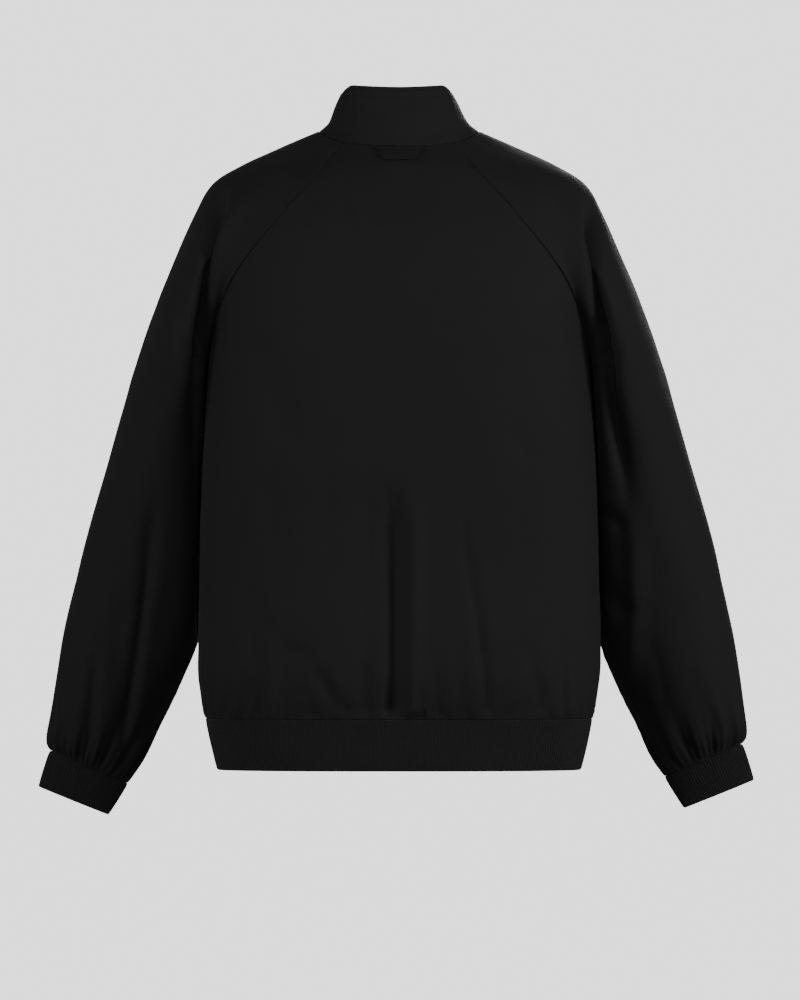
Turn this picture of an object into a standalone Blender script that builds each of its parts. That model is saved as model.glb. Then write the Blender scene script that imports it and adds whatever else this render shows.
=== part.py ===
"""Harrington jacket: a raglan blouson with a stand collar, filled out as if worn.

The origin is the middle of the neck base, where a wearer's neck and shoulders hold it.
+X is the wearer's left, +Y the back, +Z up.  All sizes are in millimetres, and MM turns
them into metres where a mesh is made.  A "drop" is a height below the origin.
"""
import math

import bmesh
import bpy
import numpy as np

MM = 0.001

# --- driving sizes --------------------------------------------------------------------
CLOTH = 1.6
COLLAR_WALL = 2.4
RIB_WALL = 2.0
SEAM = 0.4
UNDERARM_DROP = 262.0
UNDERARM_ANGLE = 97.0
HEM_SEAM_DROP = 607.0
HEM_DROP = 661.0
ZIP_EDGE = 7.0
NECK_FRONT_DROP = 60.0
NECK_BACK_DIP = 4.2
NECK_CURVE = 1.15
CENTRE_ROUNDING = 0.35
BODY_ROOM = 1.8


class Table:
    """Rows of numbers under named columns, read as smooth curves."""

    def __init__(self, names, rows):
        self.columns = dict(zip(names.split(), np.array(rows, dtype=float).T))

    def __getitem__(self, name):
        return self.columns[name]

    def at(self, key, position, names):
        """Smooth values of some columns where the key column has this position."""
        keys = self.columns[key]
        values = np.stack([self.columns[name] for name in names.split()], axis=-1)
        return curve_through(keys, values, position)


def curve_through(keys, values, position):
    """Cubic curve through values at rising keys, held still beyond its ends."""
    slopes = np.gradient(values, keys, axis=0)
    place = np.clip(np.asarray(position, dtype=float), keys[0], keys[-1])
    left = np.clip(np.searchsorted(keys, place, side="right") - 1, 0, len(keys) - 2)
    span = (keys[left + 1] - keys[left])[..., None]
    part = (place[..., None] - keys[left][..., None]) / span
    start, end = values[left], values[left + 1]
    leave, arrive = slopes[left] * span, slopes[left + 1] * span
    return ((1 + 2 * part) * (1 - part) ** 2 * start + part * (1 - part) ** 2 * leave
            + part ** 2 * (3 - 2 * part) * end + part ** 2 * (part - 1) * arrive)


# Horizontal sections of the body: half width, depth behind and before the middle.
BODY = Table("drop width back front square", (
    (-11.0, 84.5, 42.0, 46.0, 1.40),
    (0.0, 106.0, 55.0, 56.0, 1.45),
    (8.4, 124.0, 62.0, 61.0, 1.50),
    (25.0, 160.0, 75.0, 70.0, 1.70),
    (42.0, 188.0, 84.0, 76.0, 1.88),
    (59.0, 201.0, 92.0, 81.0, 2.00),
    (85.0, 204.0, 103.0, 92.0, 2.15),
    (118.0, 203.0, 112.0, 104.0, 2.30),
    (150.0, 201.0, 117.0, 114.0, 2.42),
    (200.0, 199.0, 121.0, 122.0, 2.50),
    (262.0, 202.0, 122.0, 127.0, 2.55),
    (330.0, 206.0, 120.0, 128.0, 2.60),
    (400.0, 208.0, 116.0, 126.0, 2.60),
    (470.0, 210.0, 114.0, 124.0, 2.60),
    (530.0, 211.0, 114.0, 123.0, 2.60),
    (567.0, 210.0, 112.0, 120.0, 2.60),
    (590.0, 206.5, 107.0, 113.0, 2.60),
    (607.0, 203.0, 101.0, 106.0, 2.60),
    (661.0, 191.0, 96.0, 99.0, 2.60),
))

# Raglan seams from the neck (step 0) to the underarm (step 6), as angles round the body:
# 0 is the centre back, 90 the side and 180 the centre front.
RAGLAN = Table("step back back_drop front front_drop", (
    (0, 37.0, 4.4, 148.0, 18.0),
    (1, 30.0, 40.0, 152.6, 48.0),
    (2, 35.6, 78.0, 149.6, 84.0),
    (3, 45.9, 115.0, 142.5, 120.0),
    (4, 59.7, 155.0, 131.5, 162.0),
    (5, 77.5, 207.0, 113.1, 217.0),
    (6, UNDERARM_ANGLE, UNDERARM_DROP, UNDERARM_ANGLE, UNDERARM_DROP),
))
NECK_STEP = 0.0
UNDERARM_STEP = 6.0
CUFF_STEP = 16.0

# Guide points of the sleeve: its top line and its back and front, from neck to underarm.
SHOULDER = Table("step over_x over_y over_drop back_x back_y back_drop front_x front_y front_drop", (
    (0, 84.5, 0, -9.0, 74, 28, -1.5, 77, -30, 1),
    (1, 118, -1, 6.3, 107, 42, 20, 106, -45, 24),
    (2, 155, -2, 24.4, 145, 56, 47, 143, -60, 52),
    (3, 189, -4, 41.8, 182, 61, 80, 176, -70, 86),
    (4, 210, -6, 70, 205, 67, 122, 202, -84, 130),
    (5, 232, -11, 119, 222, 68, 170, 220, -100, 180),
    (6, 255, -16, 173, 234, 66, 220, 234, -108, 228),
))

# Rings of the arm: the outer and inner ends of each, its middle and half depth in Y.
ARM = Table("step over_x over_drop under_x under_drop middle depth", (
    (6, 255, 173, 201.0, 262, -23, 87),
    (7, 276, 232, 201, 305, -32, 84),
    (8, 291, 283, 200, 350, -42, 78),
    (9, 309, 344, 198, 400, -52, 71),
    (10, 327, 407, 199, 455, -62, 64),
    (11, 343, 472, 209, 517, -71, 58),
    (12, 355.5, 526, 227, 564, -79, 54),
    (13, 363, 568, 243, 598, -85, 50),
    (14, 369, 608, 260, 630, -91, 43),
    (15, 372, 632, 273, 655, -95, 32),
    (16, 369.5, 642.6, 286.9, 677.4, -98, 17),
))
CUFF = Table("step over_x over_drop under_x under_drop middle depth", (
    (0, 369.5, 642.6, 286.9, 677.4, -98, 17),
    (1, 382.1, 681.5, 308.1, 711.5, -103, 12.5),
))

# The right sleeve hangs a little closer and higher from HANG_STEP on, by this shift at the
# cuff.  The right shoulder sags, and the right half of the collar leans to the middle.
CUFF_SHIFT = {"left": (0.0, 0.0), "right": (-6.0, 7.0)}
HANG_STEP = 10.0
SHOULDER_SAG = {"left": 0.0, "right": 2.2}
SAG_STEP = 2.7
RIGHT_COLLAR_LEAN = 0.075

# Top edge of the stand collar, from the centre back round to the zip.
COLLAR_TOP = Table("part x y z", (
    (-0.12, -25, 45.5, 55.0),
    (0.00, 0, 47.0, 54.4),
    (0.12, 25, 45.5, 55.0),
    (0.20, 42, 39.5, 56.0),
    (0.25, 50.5, 33.0, 56.4),
    (0.29, 55, 27.0, 54.0),
    (0.36, 59, 16.0, 50.0),
    (0.48, 62, -5.0, 46.0),
    (0.61, 59, -32.0, 36.0),
    (0.74, 49, -55.0, 24.0),
    (0.86, 33, -71.0, 12.0),
    (0.95, 15, -80.0, 5.0),
    (1.00, ZIP_EDGE, -82.0, 3.0),
))

# How far the collar stands in from a straight slope over the shoulders, from its seam (part 0)
# to its top edge.
COLLAR_HOLLOW = Table("part inwards", (
    (0.00, 0.0),
    (0.08, 2.4),
    (0.20, 4.4),
    (0.35, 4.2),
    (0.55, 2.6),
    (0.80, 0.8),
    (1.00, 0.0),
))

# Main folds: a straight run seen from behind or before, its sideways bow, depth and width.
# A negative depth is a ridge.
FOLD_NAMES = "x0 drop0 x1 drop1 bow depth width"
BACK_FOLDS = Table(FOLD_NAMES, (
    (6, 350, 5, 660, 2, 4.4, 8),
    (22, 350, 24, 660, 2, 2.4, 19),
    (-15, 350, -16, 660, -2, -3.4, 9),
    (34, 320, 35, 650, 2, 1.0, 7),
    (-64, 390, -97, 640, 2, 1.9, 7),
    (-132, 520, -144, 620, 4, 2.0, 8),
    (156, 462, 130, 524, -2, 1.8, 7),
    (152, 490, 138, 620, -3, 2.0, 8),
    (112, 520, 122, 610, 3, 2.2, 8),
    (86, 550, 54, 606, -4, 2.4, 7),
    (38, 545, 44, 610, 2, 2.0, 8),
    (60, 95, -60, 88, -14, -1.8, 26),
    (165, 200, 120, 330, 12, 2.2, 18),
    (-165, 205, -118, 340, -12, 2.2, 18),
))
FRONT_FOLDS = Table(FOLD_NAMES, (
    (158, 215, 104, 350, 10, 4.0, 16),
    (58, 430, 48, 602, 5, 5.0, 12),
    (108, 548, 116, 603, -3, 4.0, 10),
    (174, 440, 168, 600, 4, 4.5, 12),
    (36, 110, 30, 250, 4, 2.5, 14),
))

# Folds and gathers die out towards a seam over these distances.
FLAT_BY_EDGE = 26.0
FLAT_BY_ARMHOLE = 40.0
FLAT_BY_BAND = 16.0

# Gathers along the waist, and ribs of the bands.
WAIST_GATHER_PITCH = 21.0
WAIST_GATHER_HEIGHT = 1.6
WAIST_GATHER_REACH = 17.0
HEM_RIBS = 120
CUFF_RIBS = 32
RIB_RISE = 0.7

# How finely each piece is divided.
SEAM_STEPS = np.linspace(NECK_STEP, UNDERARM_STEP, 9)
BODY_DROPS = np.array([262, 312, 362, 410, 452, 490, 522, 549, 569, 584, 596, 607.0])
ARM_STEPS = np.array([6, 6.8, 7.6, 8.4, 9.2, 10, 10.8, 11.6, 12.4, 13.1, 13.8, 14.4, 14.9, 15.5, 16])
BACK_COLUMNS = 42
FRONT_COLUMNS = 19
SLEEVE_COLUMNS = 28
COLLAR_COLUMNS = 34
COLLAR_LIFT = 0.8

SIDES = {"left": 1.0, "right": -1.0}

# name: (red, green, blue), roughness, metallic
FINISHES = {
    "black_cloth": ((0.014, 0.014, 0.015), 0.82, 0.0),
    "black_rib": ((0.010, 0.010, 0.011), 0.92, 0.0),
    "black_tape": ((0.018, 0.018, 0.019), 0.75, 0.0),
    "dark_metal": ((0.10, 0.10, 0.11), 0.35, 1.0),
}


# --- the body surface -------------------------------------------------------------------
def body_point(angle, drop):
    """Point of the smooth body surface at an angle in degrees and a drop."""
    section = BODY.at("drop", drop, "width back front square")
    width, back, front, square = np.moveaxis(section, -1, 0)
    sine, cosine = np.sin(np.radians(angle)), np.cos(np.radians(angle))
    depth = np.where(cosine > 0, back, front)
    share = np.abs(sine) ** (2 / square)
    blunt = CENTRE_ROUNDING * np.clip(2.0 - square, 0.0, 1.0)
    least = blunt ** square
    bend = (share ** 2 + blunt ** 2) ** (square / 2) - least
    bend = np.clip(bend / ((1 + blunt ** 2) ** (square / 2) - least), 0.0, 1.0)
    x = np.sign(sine) * width * share
    y = np.sign(cosine) * depth * (1 - bend) ** (1 / square)
    return np.stack(np.broadcast_arrays(x, y, -np.asarray(drop, dtype=float)), axis=-1)


def angle_before_zip(drop):
    """Angle of the line that runs beside the zip, ZIP_EDGE from the middle."""
    width, square = np.moveaxis(BODY.at("drop", drop, "width square"), -1, 0)
    return 180.0 - np.degrees(np.arcsin((ZIP_EDGE / width) ** (square / 2)))


def evenly(points, shares):
    """Points at these shares of a polyline's length."""
    steps = np.linalg.norm(np.diff(points, axis=0), axis=1)
    length = np.concatenate([[0.0], np.cumsum(steps)])
    wanted = np.asarray(shares) * length[-1]
    return np.stack([np.interp(wanted, length, points[:, axis]) for axis in range(3)], axis=-1)


def ease(value):
    """Smooth step from 0 to 1."""
    part = np.clip(value, 0.0, 1.0)
    return part * part * (3 - 2 * part)


def unit(vectors):
    return vectors / np.maximum(np.linalg.norm(vectors, axis=-1, keepdims=True), 1e-9)


def grid_normals(grid, outward):
    """Unit normals of a grid of points, turned to the side that outward points to."""
    normals = unit(np.cross(np.gradient(grid, axis=0), np.gradient(grid, axis=1)))
    return normals * np.sign(np.sum(normals * outward, axis=-1, keepdims=True))


def fold_height(folds, x, drop):
    """Height of a set of folds over the smooth surface, below zero in a trough."""
    height = np.zeros(np.broadcast(x, drop).shape)
    rows = zip(*(folds[name] for name in FOLD_NAMES.split()))
    for x0, drop0, x1, drop1, bow, depth, width in rows:
        run = np.array([x1 - x0, drop1 - drop0])
        length = np.hypot(*run)
        along = ((x - x0) * run[0] + (drop - drop0) * run[1]) / length ** 2
        across = ((drop - drop0) * run[0] - (x - x0) * run[1]) / length
        part = np.clip(along, 0.0, 1.0)
        across = across - bow * 4 * part * (1 - part)
        beyond = (along - part) * length
        fade = ease(np.minimum(part, 1 - part) * 5) * np.exp(-(beyond / width) ** 2)
        trough = np.exp(-(across / width) ** 2)
        lips = np.exp(-((np.abs(across) - 1.9 * width) / width) ** 2)
        height += depth * fade * (0.35 * lips - trough)
    return height


def gather_height(way, above_seam, pitch, height, reach):
    """Uneven small waves that rise just above a gathered seam and die out above it."""
    phase = 2 * np.pi * (way / pitch + 0.22 * np.sin(way / 37.0) + 0.13 * np.sin(way / 13.0 + 1))
    size = 0.75 + 0.25 * np.sin(way / 29.0 + 2)
    rise = above_seam / reach * np.exp(1 - above_seam / reach)
    return height * size * rise * np.sin(phase)


def away_from_edges(grid, reach):
    """0 at the first and last column, 1 from the given distance inwards."""
    steps = np.linalg.norm(np.diff(grid, axis=1), axis=-1)
    way = np.concatenate([np.zeros((len(grid), 1)), np.cumsum(steps, axis=1)], axis=1)
    return ease(np.minimum(way, way[:, -1:] - way) / reach), way


def pull_back(grid, rows=slice(None), first=True, last=True):
    """Draw the edge columns in by half a seam gap."""
    if first:
        grid[rows, 0] += unit(grid[rows, 1] - grid[rows, 0]) * SEAM / 2
    if last:
        grid[rows, -1] += unit(grid[rows, -2] - grid[rows, -1]) * SEAM / 2


# --- panels -----------------------------------------------------------------------------
def panel_rows(side_of_body):
    """Edge angle and drop of each row of a panel, down the raglan and then the side seam."""
    names = "back back_drop" if side_of_body == "back" else "front front_drop"
    seam = RAGLAN.at("step", SEAM_STEPS, names)
    lower = BODY_DROPS[1:]
    angles = np.concatenate([seam[:, 0], np.full(len(lower), UNDERARM_ANGLE)])
    drops = np.concatenate([seam[:, 1], lower])
    return angles, drops


def back_grid():
    """Points and normals of the back, a row for each level, from right edge to left edge."""
    shares = np.linspace(0.0, 1.0, BACK_COLUMNS + 1)
    grid = []
    for edge, drop in zip(*panel_rows("back")):
        spread = np.linspace(-1.0, 1.0, 721)
        dip = NECK_BACK_DIP * (1 - np.abs(spread) ** 1.5) * (1 - ease(drop / 90.0))
        grid.append(evenly(body_point(spread * edge, drop + dip), shares))
    grid = np.array(grid)
    normals = grid_normals(grid, grid * (1.0, 1.0, 0.0))
    inside, way = away_from_edges(grid, FLAT_BY_EDGE)
    middle = way - way[:, -1:] / 2
    drop = -grid[..., 2]
    above = HEM_SEAM_DROP - drop
    height = fold_height(BACK_FOLDS, grid[..., 0], drop) * ease(above / FLAT_BY_BAND)
    height += gather_height(middle, above, WAIST_GATHER_PITCH, WAIST_GATHER_HEIGHT,
                            WAIST_GATHER_REACH)
    grid = grid + normals * (height * inside)[..., None]
    pull_back(grid)
    return grid, normals


def front_grid(side):
    """Points and normals of a front, from the side of the body to the zip."""
    shares = np.linspace(0.0, 1.0, FRONT_COLUMNS + 1)
    edges, drops = panel_rows("front")
    sunk = np.clip((drops - drops[0]) / (UNDERARM_DROP - drops[0]), 0.0, 1.0)
    zip_drops = np.maximum(drops, NECK_FRONT_DROP + (UNDERARM_DROP - NECK_FRONT_DROP) * sunk)
    grid = []
    for edge, drop, zip_drop in zip(edges, drops, zip_drops):
        part = np.linspace(0.0, 1.0, 721)
        level = zip_drop + (drop - zip_drop) * (1 - part) ** NECK_CURVE
        angle = edge + (angle_before_zip(level) - edge) * part
        grid.append(evenly(body_point(angle, level), shares))
    grid = np.array(grid)
    normals = grid_normals(grid, grid * (1.0, 1.0, 0.0))
    inside, way = away_from_edges(grid, FLAT_BY_EDGE)
    drop = -grid[..., 2]
    above = HEM_SEAM_DROP - drop
    height = fold_height(FRONT_FOLDS, grid[..., 0], drop) * ease(above / FLAT_BY_BAND)
    height += gather_height(way + ZIP_EDGE, above, WAIST_GATHER_PITCH, WAIST_GATHER_HEIGHT,
                            WAIST_GATHER_REACH)
    grid = grid + normals * (height * inside)[..., None]
    pull_back(grid)
    mirror = (SIDES[side], 1.0, 1.0)
    return grid * mirror, normals * mirror


# --- sleeves ----------------------------------------------------------------------------
def ring_guides(rings, step):
    """Under, back, over, front and under points of rings of the arm or cuff."""
    row = rings.at("step", step, "over_x over_drop under_x under_drop middle depth")
    over_x, over_drop, under_x, under_drop, middle, depth = np.moveaxis(row, -1, 0)
    over = np.stack([over_x, middle, -over_drop], axis=-1)
    under = np.stack([under_x, middle, -under_drop], axis=-1)
    centre = (over + under) / 2
    half = np.stack([0 * depth, depth, 0 * depth], axis=-1)
    return np.stack([under, centre + half, over, centre - half, under], axis=-2)


def sleeve_guides(step, side):
    """Five guide points of a sleeve, made left-handed: seam or under, back, over, front, seam."""
    names = "over_x over_y over_drop back_x back_y back_drop front_x front_y front_drop"
    keys = np.concatenate([SHOULDER["step"], ARM["step"][1:]])
    top = SHOULDER.at("step", SHOULDER["step"], names).reshape(-1, 3, 3) * (1, 1, -1)
    rings = ring_guides(ARM, ARM["step"][1:])
    lines = np.concatenate([top, rings[:, [2, 1, 3]]])
    over, back, front = np.moveaxis(curve_through(keys, lines.reshape(len(keys), 9), step)
                                    .reshape(-1, 3, 3), 1, 0)
    sag = SHOULDER_SAG[side] * np.maximum(0.0, 1 - np.abs(step - SAG_STEP) / SAG_STEP) ** 1.5
    over = over - np.stack([0 * step, 0 * step, sag], axis=-1)
    seam = RAGLAN.at("step", step, "back back_drop front front_drop")
    under = ring_guides(ARM, step)[:, 0]
    is_open = (step <= UNDERARM_STEP)[:, None]
    first = np.where(is_open, body_point(seam[:, 0], seam[:, 1]), under)
    last = np.where(is_open, body_point(seam[:, 2], seam[:, 3]), under)
    return np.stack([first, back, over, front, last], axis=1)


def arc_scale(first, second):
    """Tangent length that makes a cubic between two directions nearly a round arc."""
    turn = np.arccos(np.clip(np.sum(first * second, axis=-1), -0.17, 0.9999))
    return 4 * np.tan(turn / 4) / np.sin(turn)


def ring_through(guides, directions, columns):
    """Smooth rows of points through five guide points each, with directions at them."""
    share = np.linspace(0.0, 4.0, columns + 1)
    piece = np.minimum(share.astype(int), 3)
    part = (share - piece)[None, :, None]
    start, end = guides[:, piece], guides[:, piece + 1]
    leave, arrive = directions[:, piece], directions[:, piece + 1]
    gap = end - start
    scale = arc_scale(leave, arrive)[..., None]
    leave = leave * np.abs(np.sum(gap * leave, axis=-1, keepdims=True)) * scale
    arrive = arrive * np.abs(np.sum(gap * arrive, axis=-1, keepdims=True)) * scale
    return ((1 + 2 * part) * (1 - part) ** 2 * start + part * (1 - part) ** 2 * leave
            + part ** 2 * (3 - 2 * part) * end + part ** 2 * (part - 1) * arrive)


def ring_directions(guides, step):
    """Directions at the guide points; at the raglan seams they follow the body surface."""
    under, back, over, front, last = np.moveaxis(guides, 1, 0)
    across = unit(back - front)
    closing = ease((step - 3.0) / 3.0)[:, None]
    body_normal_back = unit(under * (1.0, 1.0, 0.0) + (0.0, 0.0, 25.0))
    body_normal_front = unit(last * (1.0, 1.0, 0.0) + (0.0, 0.0, 25.0))
    leave = back - under
    leave = unit(leave - body_normal_back * np.sum(leave * body_normal_back, -1, keepdims=True))
    arrive = last - front
    arrive = unit(arrive - body_normal_front
                  * np.sum(arrive * body_normal_front, -1, keepdims=True))
    start = unit(leave * (1 - closing) + across * closing)
    end = unit(arrive * (1 - closing) + across * closing)
    return np.stack([start, unit(over - under), -across, unit(last - over), end], axis=1)


def clear_of_body(grid, room):
    """Push points out so that they lie outside the body section by the given room."""
    section = BODY.at("drop", -grid[..., 2], "width back front square")
    width, back, front, square = np.moveaxis(section, -1, 0)
    depth = np.where(grid[..., 1] > 0, back, front)
    reach = ((np.abs(grid[..., 0]) / width) ** square
             + (np.abs(grid[..., 1]) / depth) ** square) ** (1 / square)
    radius = np.hypot(grid[..., 0], grid[..., 1])
    wanted = 1 + room / radius
    soft = 0.012
    pushed = wanted + soft * np.logaddexp(0.0, (reach - wanted) / soft)
    scale = np.where(reach < wanted + 0.08, pushed / reach, 1.0)
    return grid * np.stack([scale, scale, np.ones_like(scale)], axis=-1)


def hang(grid, step, side):
    """Shift a left-hand sleeve or cuff to where its own side hangs, and mirror it."""
    shift_x, shift_z = CUFF_SHIFT[side]
    share = ease((np.asarray(step) - HANG_STEP) / (CUFF_STEP - HANG_STEP))
    share = share.reshape(-1, 1)
    moved = grid + np.stack([shift_x * share, 0 * share, shift_z * share], axis=-1)
    return moved * (SIDES[side], 1.0, 1.0)


def sleeve_grid(side):
    """Points and normals of a sleeve: open rows over the shoulder, then closed rings."""
    step = np.concatenate([SEAM_STEPS, ARM_STEPS[1:]])
    guides = sleeve_guides(step, side)
    grid = ring_through(guides, ring_directions(guides, step), SLEEVE_COLUMNS)
    from_seam, _ = away_from_edges(grid, FLAT_BY_ARMHOLE)
    below = ease((step - 5.0) / 1.5)[:, None]
    room = BODY_ROOM * np.maximum(from_seam, below) * ease(step / 3.0)[:, None]
    is_seam = (step < UNDERARM_STEP)[:, None] & (from_seam < 1e-6)
    below_neck = ease(step)[:, None, None]
    cleared = grid + (clear_of_body(grid, room) - grid) * below_neck
    grid = np.where(is_seam[..., None], grid, cleared)
    centre = (guides[:, 1] + guides[:, 3]) / 2
    normals = grid_normals(grid, grid - centre[:, None])
    closed = step >= UNDERARM_STEP
    normals[closed, 0] = normals[closed, -1] = unit(normals[closed, 0] + normals[closed, -1])
    seam_rows = slice(0, len(SEAM_STEPS) - 1)
    pull_back(grid, seam_rows)
    return hang(grid, step, side), normals * (SIDES[side], 1.0, 1.0), closed


# --- meshes -----------------------------------------------------------------------------
def finish_named(name):
    """Principled material of a named finish."""
    colour, roughness, metallic = FINISHES[name]
    material = bpy.data.materials.get(name) or bpy.data.materials.new(name)
    material.use_nodes = True
    shader = material.node_tree.nodes["Principled BSDF"]
    shader.inputs["Base Color"].default_value = (*colour, 1.0)
    shader.inputs["Roughness"].default_value = roughness
    shader.inputs["Metallic"].default_value = metallic
    return material


def add_object(name, mesh, finish, collection):
    mesh.materials.append(finish_named(finish))
    piece = bpy.data.objects.new(name, mesh)
    collection.objects.link(piece)
    return piece


def grid_faces(rows, columns, closed_from=None):
    """Vertex numbers of a grid, and its triangles; rows from closed_from on are rings."""
    numbers = np.arange(rows * (columns + 1)).reshape(rows, columns + 1)
    if closed_from is not None:
        numbers[closed_from:, -1] = numbers[closed_from:, 0]
    a, b = numbers[:-1, :-1].ravel(), numbers[:-1, 1:].ravel()
    d, c = numbers[1:, :-1].ravel(), numbers[1:, 1:].ravel()
    faces = np.concatenate([np.stack([a, b, c], axis=1), np.stack([a, c, d], axis=1)])
    return faces[(faces[:, 0] != faces[:, 1]) & (faces[:, 1] != faces[:, 2])]


def cloth_wall(name, outer, inner, finish, collection, closed_from=None):
    """Closed wall between an outer and an inner grid of points."""
    rows, columns = outer.shape[0], outer.shape[1] - 1
    faces = grid_faces(rows, columns, closed_from)
    count = rows * (columns + 1)
    edges = {}
    for first, second, third in faces.tolist():
        for edge in ((first, second), (second, third), (third, first)):
            edges[edge] = True
    rims = []
    for first, second in edges:
        if (second, first) not in edges:
            rims.append((second, first, first + count))
            rims.append((second, first + count, second + count))
    points = np.concatenate([outer.reshape(-1, 3), inner.reshape(-1, 3)])
    triangles = np.concatenate([faces, faces[:, ::-1] + count, np.array(rims)])
    corner = points[triangles]
    volume = np.sum(corner[:, 0] * np.cross(corner[:, 1], corner[:, 2]))
    if volume < 0:
        triangles = triangles[:, ::-1]
    used, renumbered = np.unique(triangles, return_inverse=True)
    mesh = bpy.data.meshes.new(name)
    mesh.from_pydata((points[used] * MM).tolist(), [],
                     renumbered.reshape(-1, 3).tolist())
    mesh.shade_smooth()
    mesh.set_sharp_from_angle(angle=math.radians(50))
    return add_object(name, mesh, finish, collection)


def add_panel(name, grid, normals, finish, collection, closed_from=None, wall=CLOTH):
    return cloth_wall(name, grid, grid - normals * wall, finish, collection, closed_from)


# --- ribbed bands -----------------------------------------------------------------------
def ribbed(rows, normals, wall, finish, name, collection, closed_from=None):
    """Band whose outer points are raised on every second column, over a plain inside."""
    lifted = (np.arange(rows.shape[1]) % 2)[None, :, None] * RIB_RISE
    outer = rows + normals * lifted
    inner = rows - normals * wall
    return cloth_wall(name, outer, inner, finish, collection, closed_from)


def hem_rib(collection):
    """Knitted waist band, from one side of the zip round the back to the other."""
    columns = 2 * HEM_RIBS
    rows = []
    for drop in (HEM_SEAM_DROP + SEAM, HEM_DROP):
        edge = float(angle_before_zip(drop))
        angles = np.linspace(-edge, edge, 2881)
        rows.append(evenly(body_point(angles, np.full_like(angles, drop)),
                           np.linspace(0.0, 1.0, columns + 1)))
    grid = np.array(rows)
    normals = grid_normals(grid, grid * (1.0, 1.0, 0.0))
    ribbed(grid, normals, RIB_WALL, "black_rib", "hem_rib", collection)


def cuff(side, collection):
    """Knitted tube at the end of a sleeve."""
    step = np.array([0.012, 1.0])
    guides = ring_guides(CUFF, step)
    directions = ring_directions(guides, np.full(2, CUFF_STEP))
    columns = 2 * CUFF_RIBS
    dense = ring_through(guides, directions, 16 * columns)
    rows = np.array([evenly(ring, np.linspace(0.0, 1.0, columns + 1)) for ring in dense])
    centre = guides[:, [1, 3]].mean(axis=1, keepdims=True)
    normals = grid_normals(rows, rows - centre)
    normals[:, 0] = normals[:, -1] = unit(normals[:, 0] + normals[:, -1])
    rows = hang(rows, np.full(2, CUFF_STEP), side)
    normals = normals * (SIDES[side], 1.0, 1.0)
    ribbed(rows, normals, RIB_WALL, "black_rib", "cuff_" + side, collection, closed_from=0)


# --- collar -----------------------------------------------------------------------------
def neck_line(back, front, sleeve):
    """Half of the neck seam, from the centre back over the shoulder to the zip."""
    middle = back.shape[1] // 2
    parts = [back[0, middle:], sleeve[0], front[0]]
    return np.concatenate(parts)


def hollowed(half, parts):
    """Draw the rows of half a collar in towards the neck where they stand over the shoulder."""
    flat = half * (1.0, 1.0, 0.0)
    over_shoulder = (half[..., 0] / np.linalg.norm(flat, axis=-1)) ** 2
    inwards = COLLAR_HOLLOW.at("part", parts, "inwards")
    return half - unit(flat) * (inwards * over_shoulder)[..., None]


def collar_grid(back, front, sleeve):
    """Stand collar from the neck seam to its top edge, from one zip edge to the other."""
    shares = np.linspace(0.0, 1.0, COLLAR_COLUMNS + 1)
    bottom = evenly(neck_line(back, front, sleeve), shares)
    top_line = COLLAR_TOP.at("part", np.linspace(0.0, 1.0, 201), "x y z")
    top = evenly(top_line, shares)
    bottom[0, 0] = 0.0
    bottom[-1, 0] = ZIP_EDGE
    seam_way = unit(np.gradient(bottom, axis=0))
    rise = top - bottom
    rise = unit(rise - seam_way * np.sum(rise * seam_way, axis=-1, keepdims=True))
    bottom = bottom + rise * COLLAR_LIFT
    parts = np.array([0.0, 0.16, 0.5, 1.0])
    half = np.array([bottom + (top - bottom) * part for part in parts])
    half = hollowed(half, parts)
    right = half[:, :0:-1].copy()
    right[..., 0] *= RIGHT_COLLAR_LEAN * parts[:, None] - 1
    grid = np.concatenate([right, half], axis=1)
    normals = grid_normals(grid, grid * (1.0, 1.0, 0.0))
    normals[0] = unit(normals[0] * (1.0, 1.0, 0.0))
    return grid, normals


# --- things that lie on the panels ------------------------------------------------------
def lying_strip(name, centre_line, half_widths, lift, wall, surface, finish, collection):
    """Strip whose middle follows a line of (x, drop) over a surface, lifted off it."""
    line = np.array(centre_line, dtype=float)
    run = unit(np.gradient(line, axis=0))
    side_way = np.stack([-run[:, 1], run[:, 0]], axis=-1)
    spots = np.array([line + side_way * offset for offset in half_widths])
    points, normals = surface(spots[..., 0], spots[..., 1])
    outer = points + normals * (lift + wall)
    inner = points + normals * lift
    return cloth_wall(name, outer, inner, finish, collection)


def body_spot(x, drop, facing):
    """Point and normal of the body surface straight behind or before x at a drop."""
    width, square = np.moveaxis(BODY.at("drop", drop, "width square"), -1, 0)
    lean = np.degrees(np.arcsin(np.clip(np.abs(x) / width, 0, 1) ** (square / 2)))
    angle = np.sign(x) * (lean if facing > 0 else 180.0 - lean)
    point = body_point(angle, drop)
    sway = body_point(angle + 0.5, drop) - body_point(angle - 0.5, drop)
    fall = body_point(angle, drop + 1.0) - body_point(angle, drop - 1.0)
    normal = unit(np.cross(sway, fall))
    return point, normal * np.sign(np.sum(normal * (0.0, facing, 0.0), -1, keepdims=True))


def hanger_loop(collection):
    """Flat tape whose two ends go into the neck seam under the collar."""
    line = [(25.0, 14.0), (19.0, 15.6), (12.0, 17.0), (4.0, 17.6), (-4.0, 17.6),
            (-12.0, 17.0), (-19.0, 15.6), (-25.0, 14.0)]
    lying_strip("hanger_loop", line, (-4.5, 4.5), 0.5, 1.0,
                lambda x, drop: body_spot(x, drop, 1.0), "black_tape", collection)


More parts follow.
